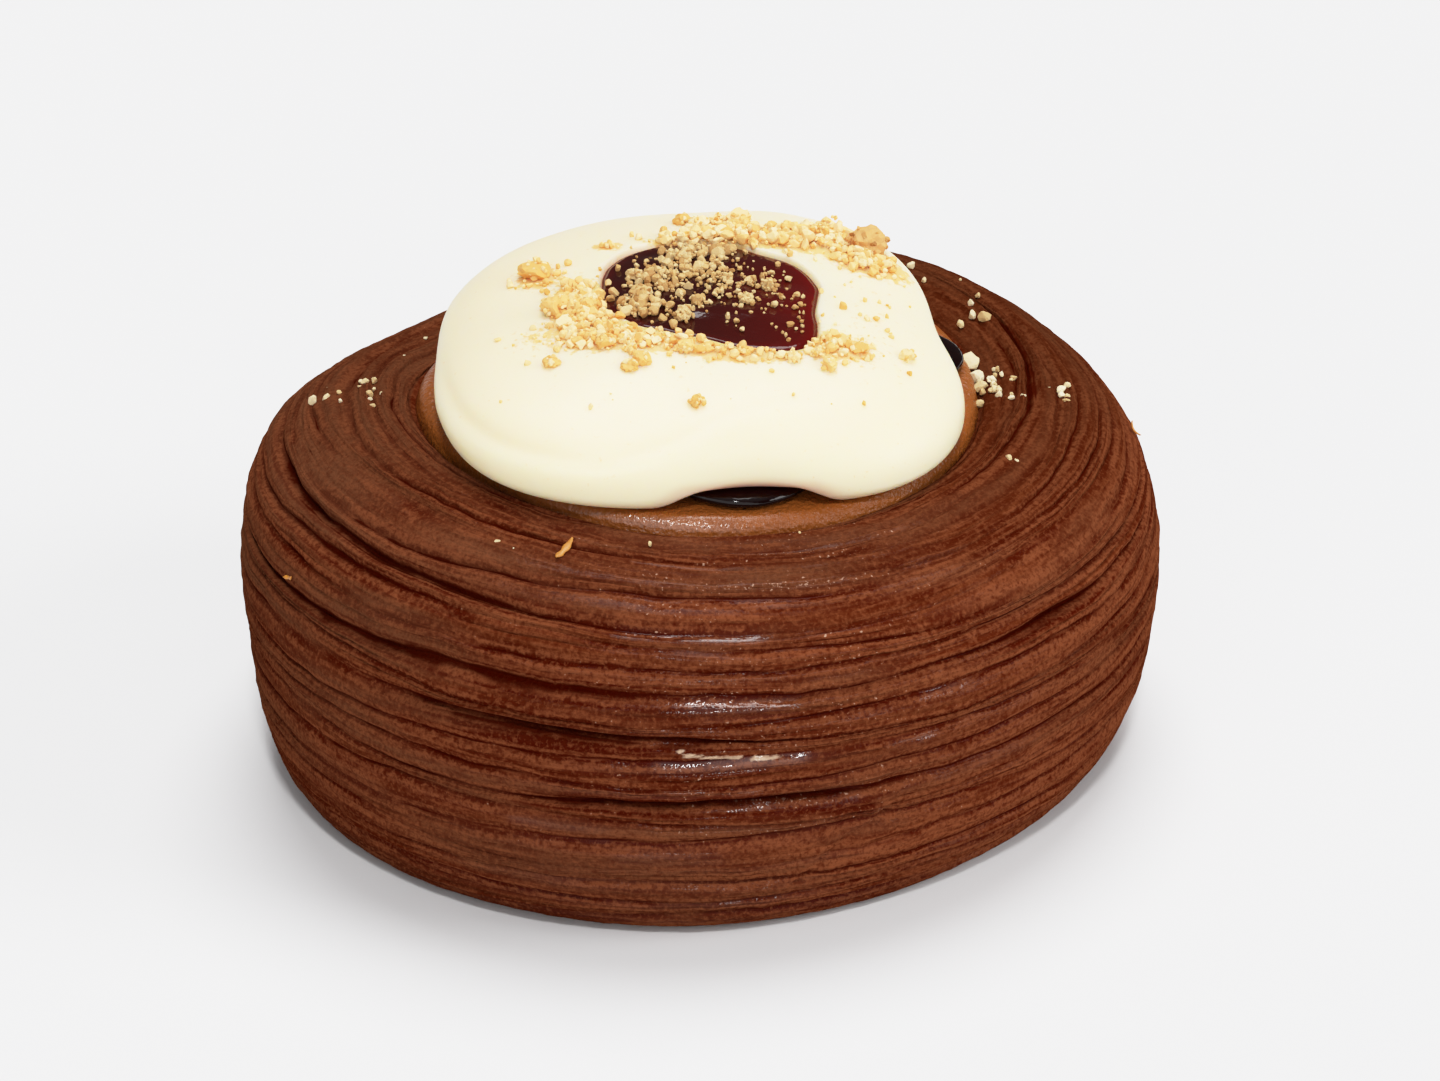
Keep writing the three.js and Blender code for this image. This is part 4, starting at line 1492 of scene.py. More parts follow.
@dataclass(frozen=True)
class Strewing:
    """Where the crumble was strewn: single lumps (place across, place along, size), drifts and fine dust."""

    lumps: tuple[tuple[float, float, float], ...] = (
        (20.1, 13.6, 6.0),
        (-17.8, 6.2, 3.8),
        (5.4, 19.6, 3.0),
        (23.3, -10.1, 2.2),
        (0.0, -22.3, 2.0),
        (-7.2, -17.2, 2.0),
        (-15.7, -15.5, 1.9),
    )
    drifts: tuple[Drift, ...] = (
        Drift(Bed.CREAM, (15.6, 14.4), (3.2, 2.2), 3.4, 7),
        Drift(Bed.CREAM, (-12.6, -4.0), (2.4, 4.0), 3.2, 9),
        Drift(Bed.CREAM, (4.0, 17.6), (3.4, 1.8), 2.8, 6),
        Drift(Bed.CREAM, (-6.5, -13.0), (4.2, 1.4), 2.4, 7),
        Drift(Bed.CREAM, (15.0, -12.4), (3.0, 1.6), 2.3, 6),
        Drift(Bed.JAM, (0.4, 0.6), (5.2, 4.6), 2.8, 14),
    )
    dusts: tuple[Dust, ...] = (
        Dust(Bed.CREAM, (-12.8, -3.4), (1.6, 3.2), 170, (0.5, 1.7), 0.7),
        Dust(Bed.CREAM, (-10.8, -10.0), (1.8, 1.8), 90, (0.5, 1.5), 0.4),
        Dust(Bed.CREAM, (-5.0, -11.8), (3.4, 1.1), 90, (0.5, 1.4), 0.3),
        Dust(Bed.CREAM, (5.0, -13.6), (2.8, 1.0), 60, (0.5, 1.3), 0.3),
        Dust(Bed.CREAM, (15.0, -11.2), (2.4, 1.5), 50, (0.5, 1.3), 0.3),
        Dust(Bed.CREAM, (14.0, 14.8), (2.4, 2.2), 130, (0.5, 1.8), 1.0),
        Dust(Bed.CREAM, (20.0, 10.0), (2.2, 1.8), 110, (0.5, 1.6), 0.8),
        Dust(Bed.CREAM, (5.6, 15.6), (3.0, 1.8), 110, (0.5, 1.7), 0.6),
        Dust(Bed.CREAM, (2.4, 13.4), (3.4, 1.0), 110, (0.6, 1.8), 1.0),
        Dust(Bed.CREAM, (10.0, 12.6), (2.0, 1.2), 50, (0.6, 1.7), 0.7),
        Dust(Bed.CREAM, (-9.7, 12.4), (1.0, 0.7), 10, (0.5, 1.2), 0.3),
        Dust(Bed.CREAM, (-17.4, 5.4), (1.4, 1.7), 30, (0.5, 1.3), 0.3),
        Dust(Bed.CREAM, (-17.0, -10.0), (2.2, 2.0), 14, (0.4, 1.2), 0.0),
        Dust(Bed.CREAM, (19.0, -4.0), (3.4, 7.0), 22, (0.4, 1.2), 0.0),
        Dust(Bed.CREAM, (0.0, -17.0), (12.0, 3.6), 16, (0.3, 0.9), 0.0),
        Dust(Bed.JAM, (-5.4, -3.6), (2.2, 2.0), 110, (0.5, 1.5), 0.7),
        Dust(Bed.JAM, (-3.6, 3.2), (2.0, 2.2), 60, (0.5, 1.5), 0.5),
        Dust(Bed.JAM, (0.8, 8.2), (2.4, 2.0), 90, (0.5, 1.5), 0.7),
        Dust(Bed.JAM, (3.6, 0.8), (2.8, 3.6), 140, (0.35, 1.0), 0.3),
        Dust(Bed.JAM, (9.6, -2.6), (2.4, 4.4), 36, (0.4, 1.1), 0.2),
    )
    grain_cover: float = 0.9  # mm2, about one grain

    def dust_at(self, x: Array, y: Array) -> Array:
        """Say how thickly dust lies over a place on the cream.

        Args:
            x: Place across.
            y: Place along.

        Returns:
            From 0, clean, to 1, in the shape of both together.
        """
        cover = np.zeros(np.broadcast(x, y).shape)
        for dust in self.dusts:
            if dust.bed is Bed.CREAM:
                away = ((x - dust.at[0]) / dust.spread[0]) ** 2 + ((y - dust.at[1]) / dust.spread[1]) ** 2
                most = dust.grains * self.grain_cover / (TURN * dust.spread[0] * dust.spread[1])
                cover = cover + most * np.exp(-away / 2)
        return np.clip(cover, 0, 1)


@dataclass(frozen=True)
class Dollop:
    """Dollop of white cream about the middle of the dish, with a dimple for the jam. Lengths in mm."""

    jam: JamLayer
    strewing: Strewing
    finish: Finish = WhippedCream()
    right: float = 30.8
    left: float = 28.9
    front: float = 30.0
    back: float = 30.6
    squareness: float = 2.45
    lobes: tuple[Lobe, ...] = (
        Lobe(-128, 28, 3.1, -0.3),
        Lobe(-78, 16, -1.7, 2.2),
        Lobe(-38, 20, 0.6, 0.0),
        Lobe(29, 31, -3.3, 1.2),
        Lobe(4, 16, -1.5, 0.0),
    )
    top: float = 57.0
    waist: float = 48.3
    waist_lean: float = 1.9
    waist_towards: float = 110
    dome_power: float = 2.2
    uneven: PlanNoise = PlanNoise(8.5, 101, 0.2)
    uneven_over: float = 0.1  # share of its radius, from its edge, until it is fully uneven
    undercut: float = 0.055
    jam_margin: float = 0.9
    droop_over: float = 3.6
    pool_at: Pair = (1.7, 0.6)
    pool_radius: float = 12.3
    pool_lobes: tuple[Swell, ...] = (
        Swell(-52, 24, 3.6),
        Swell(-102, 20, -1.3),
        Swell(125, 36, 1.2),
        Swell(55, 24, -1.2),
    )
    pool_ragged: tuple[RingNoise, ...] = (RingNoise(14, 111, 0.25), RingNoise(37, 112, 0.15))
    pool_depth: float = 2.4
    rim: float = 1.03  # where the dimple starts, as a share of the pool's radius
    foot: float = 0.92  # where it is at its deepest
    fold: tuple[tuple[float, float, float], ...] = (  # angle in degrees, share of the radius, depth in mm
        (-172, 0.985, 0.0),
        (-155, 0.98, 0.42),
        (-130, 0.97, 0.4),
        (-110, 0.955, 0.2),
        (-94, 0.89, 0.12),
        (-72, 0.77, 0.1),
        (-50, 0.72, 0.06),
        (-30, 0.74, 0.0),
    )
    fold_press: tuple[tuple[float, float, float], ...] = (  # share of the depth, place past the fold, reach
        (0.75, -1.6, 1.5),
        (-1.0, 0.5, 1.1),
    )
    stain: float = 0.9
    stain_patches: RingNoise = RingNoise(9, 113, 0.5)
    stain_mean: float = 0.6
    stain_reach: float = 1.07  # share of the pool's radius
    stain_over: float = 0.1
    pool_about: float = 1.3  # share of the pool's radius within which its stain counts
    seep: float = 1.8  # how far up jam shows from the tongues below
    dust_from: float = 3.0  # above its lower edge
    dust_over: float = 2.0
    around: int = 288
    under_shares: tuple[float, ...] = (0.4, 0.75, 0.88, 0.93)
    edge_rings: int = 16
    dome_rings: int = 56
    ring_power: float = 1.6  # more sets the dome's rings closer at its edge
    rim_rings: int = 10
    dimple_shares: tuple[float, ...] = (0.9, 0.7, 0.45, 0.2)

    @property
    def slump(self) -> Slump:
        """Give the slump that the whole pastry shares."""
        return self.jam.chocolate.dough.slump

    def radius(self, angle: Array) -> Array:
        """Work out the radius at its waist.

        Args:
            angle: The angles round it.

        Returns:
            The radius at each.
        """
        width = np.where(np.cos(angle) < 0, self.left, self.right)
        depth = np.where(np.sin(angle) < 0, self.front, self.back)
        across = np.abs(np.cos(angle) / width) ** self.squareness
        along = np.abs(np.sin(angle) / depth) ** self.squareness
        lobes = sum(Swell(lobe.towards, lobe.width, lobe.reach).at(angle) for lobe in self.lobes)
        return (across + along) ** (-1 / self.squareness) + lobes

    def waist_height(self, angle: Array) -> Array:
        """Give the height of its widest place."""
        lifts = sum(Swell(lobe.towards, lobe.width, lobe.lift).at(angle) for lobe in self.lobes)
        return self.waist + self.waist_lean * np.cos(angle - math.radians(self.waist_towards)) + lifts

    def pool_edge(self, angle: Array) -> Array:
        """Give the radius of the pool's uneven edge."""
        ragged = sum(noise.at(0, angle) for noise in self.pool_ragged)
        return self.pool_radius + sum(lobe.at(angle) for lobe in self.pool_lobes) + ragged

    def pool_place(self, share: Array, angle: Array) -> tuple[Array, Array]:
        """Give a place in or about the pool, where a share of 1 is its edge."""
        x, y = polar(share * self.pool_edge(angle), angle)
        return x + self.pool_at[0], y + self.pool_at[1]

    def pool_share(self, x: Array, y: Array) -> Array:
        """Give how far a place lies from the middle of the pool, where 1 is its edge."""
        x, y = x - self.pool_at[0], y - self.pool_at[1]
        return np.hypot(x, y) / self.pool_edge(np.arctan2(y, x))

    def dome(self, x: Array, y: Array) -> Array:
        """Work out the height of its dome, before the dimple is pressed in.

        Args:
            x: Place across.
            y: Place along.

        Returns:
            The even height above the table.
        """
        angle = np.arctan2(y, x)
        share = np.clip(np.hypot(x, y) / self.radius(angle), 0, 1)
        waist = self.waist_height(angle)
        uneven = self.uneven.at(x, y) * smooth((1 - share) / self.uneven_over)
        return waist + (self.top - waist) * (1 - share**self.dome_power) ** (1 / self.dome_power) + uneven

    def height(self, x: Array, y: Array) -> Array:
        """Give the height of its top, with the dimple."""
        pressed = smooth((self.rim - self.pool_share(x, y)) / (self.rim - self.foot))
        return self.dome(x, y) - self.pool_depth * pressed

    def underside(self, radius: Array, angle: Array) -> Array:
        """Give the height of its underside, which lies on the jam and droops to the cream outside it."""
        over = smooth((self.jam.reach(angle) + self.jam_margin + self.droop_over - radius) / self.droop_over)
        return self.jam.chocolate.height + GAP + over * (self.jam.thickness + GAP)

    def build(self) -> bpy.types.Object:
        """Build the dollop and dress it.

        Returns:
            The dollop.
        """
        angle = round_angles(self.around)
        edge, waist = self.radius(angle), self.waist_height(angle)
        rings = []
        for share in self.under_shares:
            x, y = polar(edge * share, angle)
            rings.append(self.slump.dish_point(x, y, self.underside(edge * share, angle)))
        for turn in np.linspace(0, math.pi / 2, self.edge_rings, endpoint=False):
            share = 1 - self.undercut * (1 - math.sin(turn))
            low = self.underside(edge * share, angle)
            x, y = polar(edge * share, angle)
            rings.append(self.slump.dish_point(x, y, blend(low, waist, 1 - math.cos(turn))))
        rim_x, rim_y = self.pool_place(self.rim, angle)
        edge_x, edge_y = polar(edge, angle)
        for step in range(self.dome_rings):
            inward = (step / self.dome_rings) ** self.ring_power
            x, y = blend(edge_x, rim_x, inward), blend(edge_y, rim_y, inward)
            rings.append(self.slump.dish_point(x, y, self.dome(x, y)))
        for share in (*np.linspace(self.rim, self.foot, self.rim_rings), *self.dimple_shares):
            x, y = self.pool_place(share, angle)
            rings.append(self.slump.dish_point(x, y, self.height(x, y)))
        middle = np.zeros(1)
        bottom = self.slump.dish_point(middle, middle, self.underside(middle, middle))[0]
        centre = [np.array([place]) for place in self.pool_at]
        top = self.slump.dish_point(*centre, self.height(*centre))[0]
        rings = self.folded(np.array(rings), angle)
        shape = lofted(rings, bottom, top, self.soiled_values(rings, angle))
        return place_piece("cream_dollop", shape, self.finish, ("white_cream",))

    def soiled_values(self, rings: Array, angle: Array) -> dict[str, Array]:
        """Say where jam has stained the cream, about the pool and over the tongues, and where dust lies.

        Args:
            rings: Points by ring, by place round it.
            angle: The angles round it.

        Returns:
            From 0, clean, to 1, by ring and place.
        """
        middle = self.slump.dish_point(np.zeros(1), np.zeros(1), self.jam.chocolate.height)[0]
        x, y = rings[..., 0] - middle[0], rings[..., 1] - middle[1]
        share = self.pool_share(x, y)
        about = self.stain * smooth((self.stain_reach - share) / self.stain_over)
        about = about * (self.stain_mean + self.stain_patches.at(0, angle))
        tongue = sum(lobe.at(angle) for lobe in self.jam.tongues) / self.jam.tongues[0].size
        above = rings[..., 2] - rings[len(self.under_shares), :, 2]
        seeped = self.stain * np.minimum(1, tongue) * smooth((self.seep - above) / self.seep)
        dust = self.strewing.dust_at(x, y) * smooth((above - self.dust_from) / self.dust_over)
        return {"stain": np.clip(np.where(share < self.pool_about, about, seeped), 0, 1), "dust": dust}

    def folded(self, rings: Array, angle: Array) -> Array:
        """Press in the fold that the spoon left, with the bulge below it.

        Args:
            rings: Points by ring, from the underside up, by place round it.
            angle: The angles round it.

        Returns:
            The points with the fold.
        """
        turns, shares, depths = np.array(self.fold).T
        degrees = np.degrees(turn_between(angle, 0))
        depth = np.interp(degrees, turns, depths, left=0, right=0)
        steps = np.linalg.norm(np.diff(rings, axis=0), axis=-1)
        length = np.pad(np.cumsum(steps, axis=0), ((1, 0), (0, 0)))
        first = len(self.under_shares) + self.edge_rings
        centre = self.slump.dish_point(np.zeros(1), np.zeros(1), 0)[0]
        dome = slice(first, first + self.dome_rings)
        share = np.linalg.norm(rings[dome, :, :2] - centre[:2], axis=-1) / self.radius(angle)
        line = np.array(
            [
                np.interp(wanted, share[::-1, i], length[dome, i][::-1])
                for i, wanted in enumerate(np.interp(degrees, turns, shares))
            ]
        )
        past = length - line
        press = sum(size * np.exp(-(((past - at) / reach) ** 2)) for size, at, reach in self.fold_press)
        return rings + ring_normals(rings) * (depth * press)[..., None]


@dataclass(frozen=True)
class JamPool:
    """Cherry jam in the dollop's dimple. Lengths in mm, widths as shares of the pool's radius."""

    dollop: Dollop
    finish: Finish = CherryJam()
    level: float = 0.3  # under the rim
    clear: float = 0.1  # above the dimple's floor
    fill: float = 0.93  # where its flat top ends
    meniscus: float = 0.99  # where its rounded edge meets the cream
    edge_drop: float = 0.9
    lumps: PlanNoise = PlanNoise(2.4, 91, 0.14)
    lumps_over: float = 0.2  # from the edge, until they have their full size
    under_thin: float = 0.8  # how thin, and so how red, it is below
    edge_thin: float = 0.25
    edge_from: float = 0.85
    thin_side: Swell = Swell(-10, 60, 0.55)
    under_share: float = 0.5
    edge_rings: int = 8
    top_rings: int = 40
    top_shares: Pair = (0.91, 0.03)  # of its outermost and innermost ring
    around: int = 240

    def height(self, x: Array, y: Array) -> Array:
        """Give the height of its surface."""
        return self.dollop.dome(x, y) - self.level

    def build(self) -> bpy.types.Object:
        """Build the jam and dress it.

        Returns:
            The jam.
        """
        dollop, angle = self.dollop, round_angles(self.around)
        rings, thin = [], []
        for share in (self.under_share, self.meniscus):
            x, y = dollop.pool_place(share, angle)
            rings.append(dollop.slump.dish_point(x, y, dollop.height(x, y) + self.clear))
            thin.append(np.full(self.around, self.under_thin))
        edge = np.linspace(self.meniscus, self.fill, self.edge_rings)
        for share in (*edge, *np.linspace(*self.top_shares, self.top_rings)):
            x, y = dollop.pool_place(share, angle)
            past = np.clip((share - self.fill) / (self.meniscus - self.fill), 0, 1)
            drop = self.edge_drop * (1 - math.sqrt(1 - past * past))
            uneven = self.lumps.at(x, y) * smooth((1 - share) / self.lumps_over)
            rings.append(dollop.slump.dish_point(x, y, self.height(x, y) - drop + uneven))
            at_edge = smooth((share - self.edge_from) / (1 - self.edge_from))
            thin.append(self.edge_thin * at_edge + self.thin_side.at(angle) * share)
        centre = [np.array([place]) for place in dollop.pool_at]
        bottom = dollop.slump.dish_point(*centre, dollop.height(*centre) + self.clear)[0]
        top = dollop.slump.dish_point(*centre, self.height(*centre))[0]
        shape = lofted(np.array(rings), bottom, top, {"thin": np.array(thin)})
        return place_piece("jam_in_dimple", shape, self.finish, ("jam_pool",))


@dataclass(frozen=True)
class Breakage:
    """How baked crumble breaks into grains, and clumps of them about a core. Lengths in mm.

    Attributes:
        rough: How uneven a grain is, as a share of its radius.
        facets: How many flat faces it has.
        cut: How near to its middle they are, as shares of its radius.
        core_cut: Likewise, for a clump's core.
        stretch: How long or short a grain is along each axis.
        core: Width of a clump's core, as a share of the clump's.
        flatness: A clump's height, as a share of its width.
        grains: How many grains a clump has, and how many more for each mm of its width.
        ring: How far from its middle they lie, as shares of its width.
        grain_size: Their size in a clump of no width, and how much they grow with its width.
        grain_range: Their smallest and largest, as shares of that.
    """

    rough: float = 0.16
    facets: int = 6
    cut: Pair = (0.45, 0.75)
    core_cut: Pair = (0.45, 0.75)
    stretch: Pair = (0.8, 1.3)
    core: float = 0.85
    flatness: float = 0.8
    grains: tuple[int, int] = (9, 6)
    ring: Pair = (0.3, 0.42)
    grain_size: Pair = (0.5, 0.09)
    grain_range: Pair = (0.5, 1.0)

    def grain(
        self,
        middle: Array,
        size: float,
        draw: np.random.Generator,
        fineness: int = 2,
        cut: Pair | None = None,
    ) -> Shape:
        """Make one broken grain with a few flat faces.

        Args:
            middle: Its middle.
            size: How wide it is.
            draw: Where random numbers come from.
            fineness: How finely the ball is divided that it is cut from.
            cut: How near to its middle its flat faces are, if not as usual.

        Returns:
            The grain, with a tone from pale to browned.
        """
        corners, faces = ball(fineness)
        points = corners * (1 + self.rough * draw.uniform(-1, 1, (len(corners), 1)))
        for facet in draw.normal(size=(self.facets, 3)):
            facet = facet / np.linalg.norm(facet)
            past = points @ facet - draw.uniform(*(cut or self.cut))
            points = points - np.maximum(past, 0)[:, None] * facet
        points = middle + points * draw.uniform(*self.stretch, 3) * size / 2
        return Shape(points, faces.tolist(), {"tone": np.full(len(corners), draw.uniform())})

    def clump(self, middle: Array, size: float, draw: np.random.Generator) -> Shape:
        """Make a clump of grains that baked together about a core.

        Args:
            middle: Its middle.
            size: How wide it is.
            draw: Where random numbers come from.

        Returns:
            The clump, with a tone from pale to browned for each of its grains.
        """
        flat = (1, 1, self.flatness)
        core = self.grain(middle, self.core * size, draw, 3, self.core_cut)
        core.points = middle + (core.points - middle) * flat
        count = round(self.grains[0] + self.grains[1] * size)
        outward = draw.normal(size=(count, 3))
        lengths = np.linalg.norm(outward, axis=1, keepdims=True)
        outward *= draw.uniform(*self.ring, (count, 1)) * size / lengths
        sizes = draw.uniform(*self.grain_range, count) * (self.grain_size[0] + self.grain_size[1] * size)
        places = middle + outward * flat
        return joined([core, *(self.grain(place, across, draw) for place, across in zip(places, sizes))])


@dataclass(frozen=True)
class Stray:
    """Grains that fell on the dough: strand, angle in degrees, spread in both, how many, and sizes in mm."""

    strand: float
    angle: float
    spread: Pair
    grains: int
    size: Pair


@dataclass(frozen=True)
class Crumble:
    """Golden crumble: clumps where the solids have them, loose grains about them, and strays on the dough.

    Lengths are in mm.
    """

    dollop: Dollop
    pool: JamPool
    strays: tuple[Stray, ...] = (
        Stray(20.0, -178, (0.9, 5), 14, (0.5, 1.3)),
        Stray(21.4, 3.5, (0.3, 3.5), 16, (0.5, 1.1)),
        Stray(20.8, -8, (0.2, 1.5), 3, (0.5, 1.0)),
        Stray(18.9, -3.5, (0.3, 2.2), 7, (0.5, 1.3)),
        Stray(20.9, 24, (0.3, 2), 3, (0.8, 1.5)),
        Stray(19.8, -26.8, (0.1, 0.5), 2, (0.7, 1.1)),
        Stray(20.75, -73.5, (0, 0), 1, (0.5, 0.6)),
        Stray(19.95, -99.5, (0, 0), 1, (0.5, 0.6)),
        Stray(18.2, -122.5, (0.1, 2.5), 3, (0.5, 0.9)),
        Stray(21.9, 11.4, (0, 0), 1, (2.6, 2.8)),
        Stray(21.9, 5.9, (0, 0), 1, (2.2, 2.4)),
        Stray(21.9, 1.2, (0, 0), 1, (1.9, 2.1)),
        Stray(20.6, 42, (0.5, 6), 5, (0.6, 1.2)),
        Stray(20.0, 90, (1.0, 40), 14, (0.4, 1.2)),
    )
    golden: Finish = GoldenCrumble()
    stained: Finish = StainedCrumble()
    pale: Finish = PaleCrumble()
    roasted: Finish = RoastedHazelnut()
    broken: Breakage = Breakage()
    nut: Breakage = Breakage(core_cut=(0.85, 1.0), flatness=0.75, grain_size=(0.5, 0.06))
    nut_over: float = 5.0  # a lump larger than this is one broken nut
    drift_share: float = 0.95  # how much of a drift's spread is used, so that no crumb lies far off
    drift_seeds: tuple[Pair, ...] = ((1, 1), (31, 7))  # for how far a crumb lies, and which way
    shrink: float = 0.55  # share of the largest crumb's size that a drift's last one lacks
    sunk: float = 0.25  # share of its size that a crumb sinks in
    clearance: float = 0.7  # of a crumb from the pool's edge
    reach: float = 0.9  # share of the dollop's radius that crumbs keep to
    plenty: float = 1.35  # how many grains are strewn for each one of a dust
    fineness: float = 0.88  # how large they are against its sizes
    fine: float = 0.65  # a grain up to this size is cut from a coarser ball
    bedding: float = 0.2  # how far a grain's middle lies above its bed, as a share of its size
    stray_fineness: float = 0.87  # as the fineness and the bedding, on the dough
    stray_bedding: float = 0.3
    stray_lift: float = 0.1  # above the even wall, besides that
    seed: int = 7

    def surface(self, bed: Bed, x: Array, y: Array) -> Array:
        """Give the even height of what the crumbs lie on."""
        return self.pool.height(x, y) if bed is Bed.JAM else self.dollop.height(x, y)

    def lies_well(self, bed: Bed, x: Array, y: Array, size: Array) -> Array:
        """Say which crumbs stay inside the pool, or else outside it and on the dollop.

        Args:
            bed: What they lie on.
            x: Place across.
            y: Place along.
            size: How wide they are.

        Returns:
            Whether each one lies well.
        """
        margin = (size / 2 + self.clearance) / self.dollop.pool_radius
        share = self.dollop.pool_share(x, y)
        if bed is Bed.JAM:
            return share < self.pool.fill - margin
        inside = np.hypot(x, y) < self.reach * self.dollop.radius(np.arctan2(y, x))
        return (share > self.pool.fill + margin) & inside

    def crumbs(self, bed: Bed) -> Array:
        """List the crumbs that the solids have on a bed.

        Args:
            bed: What they lie on.

        Returns:
            One row for each: place across, place along, size.
        """
        strewing = self.dollop.strewing
        rows = list(strewing.lumps) if bed is Bed.CREAM else []
        for order, drift in enumerate(strewing.drifts):
            if drift.bed is not bed:
                continue
            count = np.arange(drift.crumbs)
            far, way = (chance(order + first, count + then) for first, then in self.drift_seeds)
            x, y = polar(np.sqrt(-2 * np.log(1 - self.drift_share * far)), TURN * way)
            size = drift.largest * (1 - self.shrink * count / drift.crumbs)
            rows += zip(x * drift.spread[0] + drift.at[0], y * drift.spread[1] + drift.at[1], size)
        rows = np.array(rows)
        return rows[self.lies_well(bed, *rows.T)]

    def loose(self, dust: Dust, draw: np.random.Generator) -> list[Shape]:
        """Strew loose grains.

        Args:
            dust: Where they lie.
            draw: Where random numbers come from.

        Returns:
            The grains.
        """
        grains = round(dust.grains * self.plenty)
        away = draw.normal(0, 1, (grains, 2))
        size = self.fineness * blend(*dust.size, draw.uniform(0, 1, grains) ** 2)
        heap = dust.heap * np.exp(-(away**2).sum(axis=1) / 2)
        lift = self.bedding * size + heap * draw.uniform(0, 1, grains)
        x, y = (dust.at + away * dust.spread).T
        kept = self.lies_well(dust.bed, x, y, -2 * self.clearance)  # up to the pool's very edge
        x, y, size, lift = x[kept], y[kept], size[kept], lift[kept]
        middles = self.dollop.slump.dish_point(x, y, self.surface(dust.bed, x, y) + lift)
        return [
            self.broken.grain(middle, across, draw, 2 if across > self.fine else 1)
            for middle, across in zip(middles, size)
        ]

    def strayed(self, stray: Stray, draw: np.random.Generator) -> list[Shape]:
        """Strew grains on the dough.

        Args:
            stray: Where they lie.
            draw: Where random numbers come from.

        Returns:
            The grains.
        """
        dough = self.dollop.jam.chocolate.dough
        strand, degrees = draw.normal((stray.strand, stray.angle), stray.spread, (stray.grains, 2)).T
        size = self.stray_fineness * draw.uniform(*stray.size, stray.grains)
        lift = self.stray_lift + self.stray_bedding * size
        middles = dough.wall_point(np.minimum(strand, dough.strands), np.radians(degrees), lift)
        return [self.broken.grain(middle, across, draw) for middle, across in zip(middles, size)]

    def build(self) -> None:
        """Build the crumble on each bed and dress it."""
        slump, strewing = self.dollop.slump, self.dollop.strewing
        beds = ((Bed.CREAM, self.golden, "white_cream"), (Bed.JAM, self.stained, "jam_pool"))
        for bed, finish, node in beds:
            draw = np.random.default_rng(self.seed)
            shapes = []
            for x, y, size in self.crumbs(bed):
                x, y = np.array([x]), np.array([y])
                lift = size * (self.broken.flatness / 2 - self.sunk)
                middle = slump.dish_point(x, y, self.surface(bed, x, y) + lift)[0]
                if size > self.nut_over:
                    nut = self.nut.clump(middle, size, draw)
                    place_piece("nut_on_cream", nut, self.roasted, (node,))
                else:
                    shapes.append(self.broken.clump(middle, size, draw))
            for dust in strewing.dusts:
                if dust.bed is bed:
                    shapes += self.loose(dust, draw)
            place_piece(f"crumble_on_{bed.value}", joined(shapes), finish, (node,))
        draw = np.random.default_rng(self.seed)
        shapes = [shape for stray in self.strays for shape in self.strayed(stray, draw)]
        place_piece(f"crumble_on_{Bed.DOUGH.value}", joined(shapes), self.pale)


@dataclass(frozen=True)
class Lamp:
    """A far lamp: where it hangs, how wide it looks from the pastry, in degrees, and its strength in W/m2."""

    name: str
    azimuth: float
    elevation: float
    spread: float
    strength: float


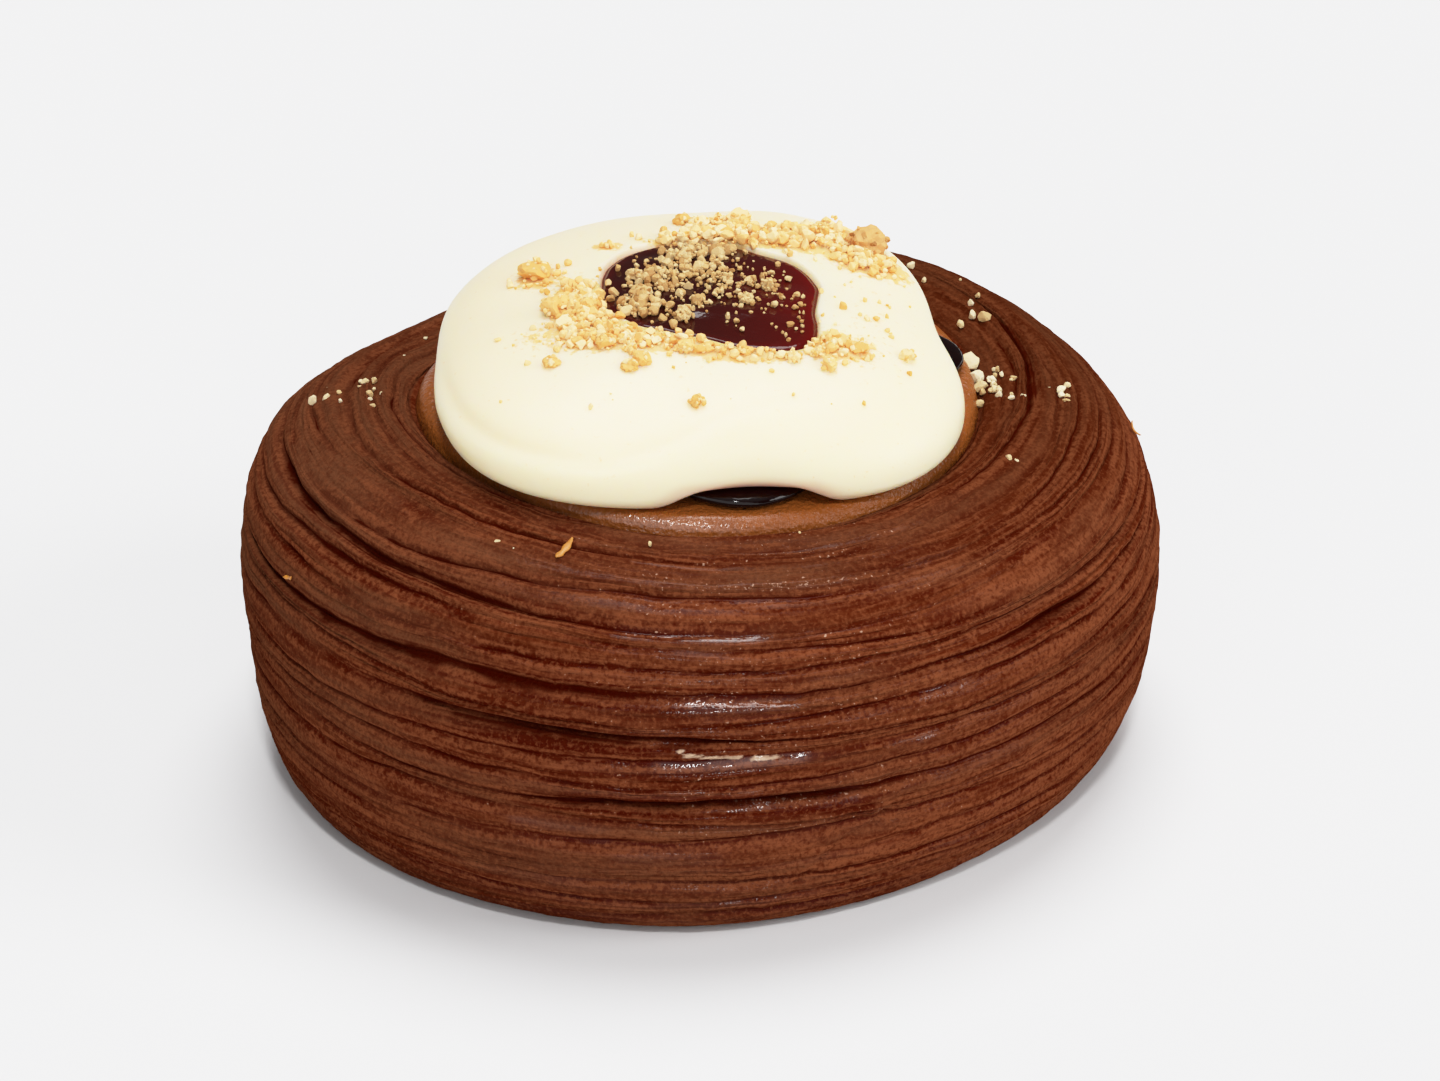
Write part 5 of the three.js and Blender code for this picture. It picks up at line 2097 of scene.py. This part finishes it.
@dataclass(frozen=True)
class Studio:
    """A pale floor, soft lamps, and a camera as for the photograph. Lengths in mm, angles in degrees."""

    aim: tuple[float, float, float] = (2.409, 0.456, 23.838)
    elevation: float = 26.47
    roll: float = 2.108
    distance: float = 600.0
    focal: float = 5217.0  # in pixels of the image
    image_width: float = 1440.0
    sensor: float = 36.0
    floor_size: float = 4000.0
    lamps: tuple[Lamp, ...] = (
        Lamp("overhead_softbox", 75, 70, 36, 2.6),
        Lamp("front_lamp", -86, 54, 6, 1.4),
        Lamp("right_panel", -14, 26, 30, 1.6),
        Lamp("front_panel", -95, 8, 80, 2.1),
    )
    sky_low: float = 0.1
    sky_top: float = 0.85
    sky_from: float = 0.7  # the sine of the elevation where the sky starts to brighten
    backdrop: float = 1.3
    white_point: float = 3.0  # the light that shows as pure white
    film: tuple[Pair, ...] = (  # light, and what it shows as, both linear
        (0.2, 0.2),
        (0.4, 0.4),
        (0.6, 0.575),
        (0.8, 0.7),
        (1.0, 0.79),
        (1.3, 0.875),
        (1.6, 0.925),
        (2.0, 0.965),
    )

    def build(self) -> None:
        """Build the floor, the lights and the camera."""
        self.lay_floor()
        self.light()
        self.set_camera()
        self.expose()

    def expose(self) -> None:
        """Let the brightest light roll off as on film, so that pale cream keeps its soft shades."""
        settings = bpy.context.scene.view_settings
        settings.view_transform = "Standard"
        settings.use_curve_mapping = True
        mapping = settings.curve_mapping
        mapping.white_level = (self.white_point,) * 3
        for light, shown in self.film:
            mapping.curves[-1].points.new(light / self.white_point, shown)
        mapping.update()

    def lay_floor(self) -> None:
        """Lay the floor."""
        half = self.floor_size / 2 * MM
        mesh = bpy.data.meshes.new("floor")
        corners = [(-half, -half, 0), (half, -half, 0), (half, half, 0), (-half, half, 0)]
        mesh.from_pydata(corners, [], [[0, 1, 2, 3]])
        mesh.materials.append(PaleBoard().material())
        floor = bpy.data.objects.new("floor", mesh)
        bpy.context.scene.collection.objects.link(floor)

    def light(self) -> None:
        """Hang the lamps, and fill in from a sky that is brighter overhead and shows as a pale backdrop."""
        world = bpy.data.worlds.new("studio")
        world.use_nodes = True
        tree = world.node_tree
        tree.nodes.clear()
        place = add_node(tree, "ShaderNodeTexCoord")
        up = add_node(tree, "ShaderNodeSeparateXYZ", {0: place.outputs["Generated"]})
        inputs = {"Value": up.outputs["Z"], "From Min": self.sky_from}
        inputs |= {"To Min": self.sky_low, "To Max": self.sky_top}
        fill = add_node(tree, "ShaderNodeMapRange", inputs)
        seen = add_node(tree, "ShaderNodeLightPath")
        inputs = {"Factor": seen.outputs["Is Camera Ray"], "A": fill.outputs[0], "B": self.backdrop}
        strength = add_node(tree, "ShaderNodeMix", inputs)
        sky = add_node(tree, "ShaderNodeBackground", {"Strength": strength.outputs[0]})
        add_node(tree, "ShaderNodeOutputWorld", {"Surface": sky.outputs[0]})
        bpy.context.scene.world = world
        for lamp in self.lamps:
            light = bpy.data.lights.new(lamp.name, "SUN")
            light.angle = math.radians(lamp.spread)
            light.energy = lamp.strength
            x, y = polar(math.cos(math.radians(lamp.elevation)), math.radians(lamp.azimuth))
            hung = bpy.data.objects.new(lamp.name, light)
            towards = Vector((x, y, math.sin(math.radians(lamp.elevation))))
            hung.rotation_euler = towards.to_track_quat("Z", "Y").to_euler()
            bpy.context.scene.collection.objects.link(hung)

    def set_camera(self) -> None:
        """Set the camera at the photograph's angle, with its small roll."""
        tilt, roll = math.radians(self.elevation), math.radians(self.roll)
        back = Vector((0, -math.cos(tilt), math.sin(tilt)))
        right = Vector((1, 0, 0))
        up = back.cross(right)
        across = right * math.cos(roll) - up * math.sin(roll)
        above = right * math.sin(roll) + up * math.cos(roll)
        turn = Matrix((across, above, back)).transposed().to_4x4()
        lens = bpy.data.cameras.new("camera")
        lens.sensor_fit = "HORIZONTAL"
        lens.sensor_width = self.sensor
        lens.lens = self.focal / self.image_width * self.sensor
        camera = bpy.data.objects.new("camera", lens)
        camera.matrix_world = Matrix.Translation((Vector(self.aim) + back * self.distance) * MM) @ turn
        bpy.context.scene.collection.objects.link(camera)
        bpy.context.scene.camera = camera


def main() -> None:
    """Build the pastry from the dough up, then the studio, and note the sizes."""
    logging.basicConfig(level=logging.INFO, format="%(name)s: %(message)s")
    dough = Dough(Slump())
    chocolate = ChocolateCream(dough)
    jam = JamLayer(chocolate)
    dollop = Dollop(jam, Strewing())
    pool = JamPool(dollop)
    for part in (dough, ButterFlakes(dough), chocolate, jam, dollop, pool, Crumble(dollop, pool)):
        part.build()
    Studio().build()


if __name__ == "__main__":
    main()
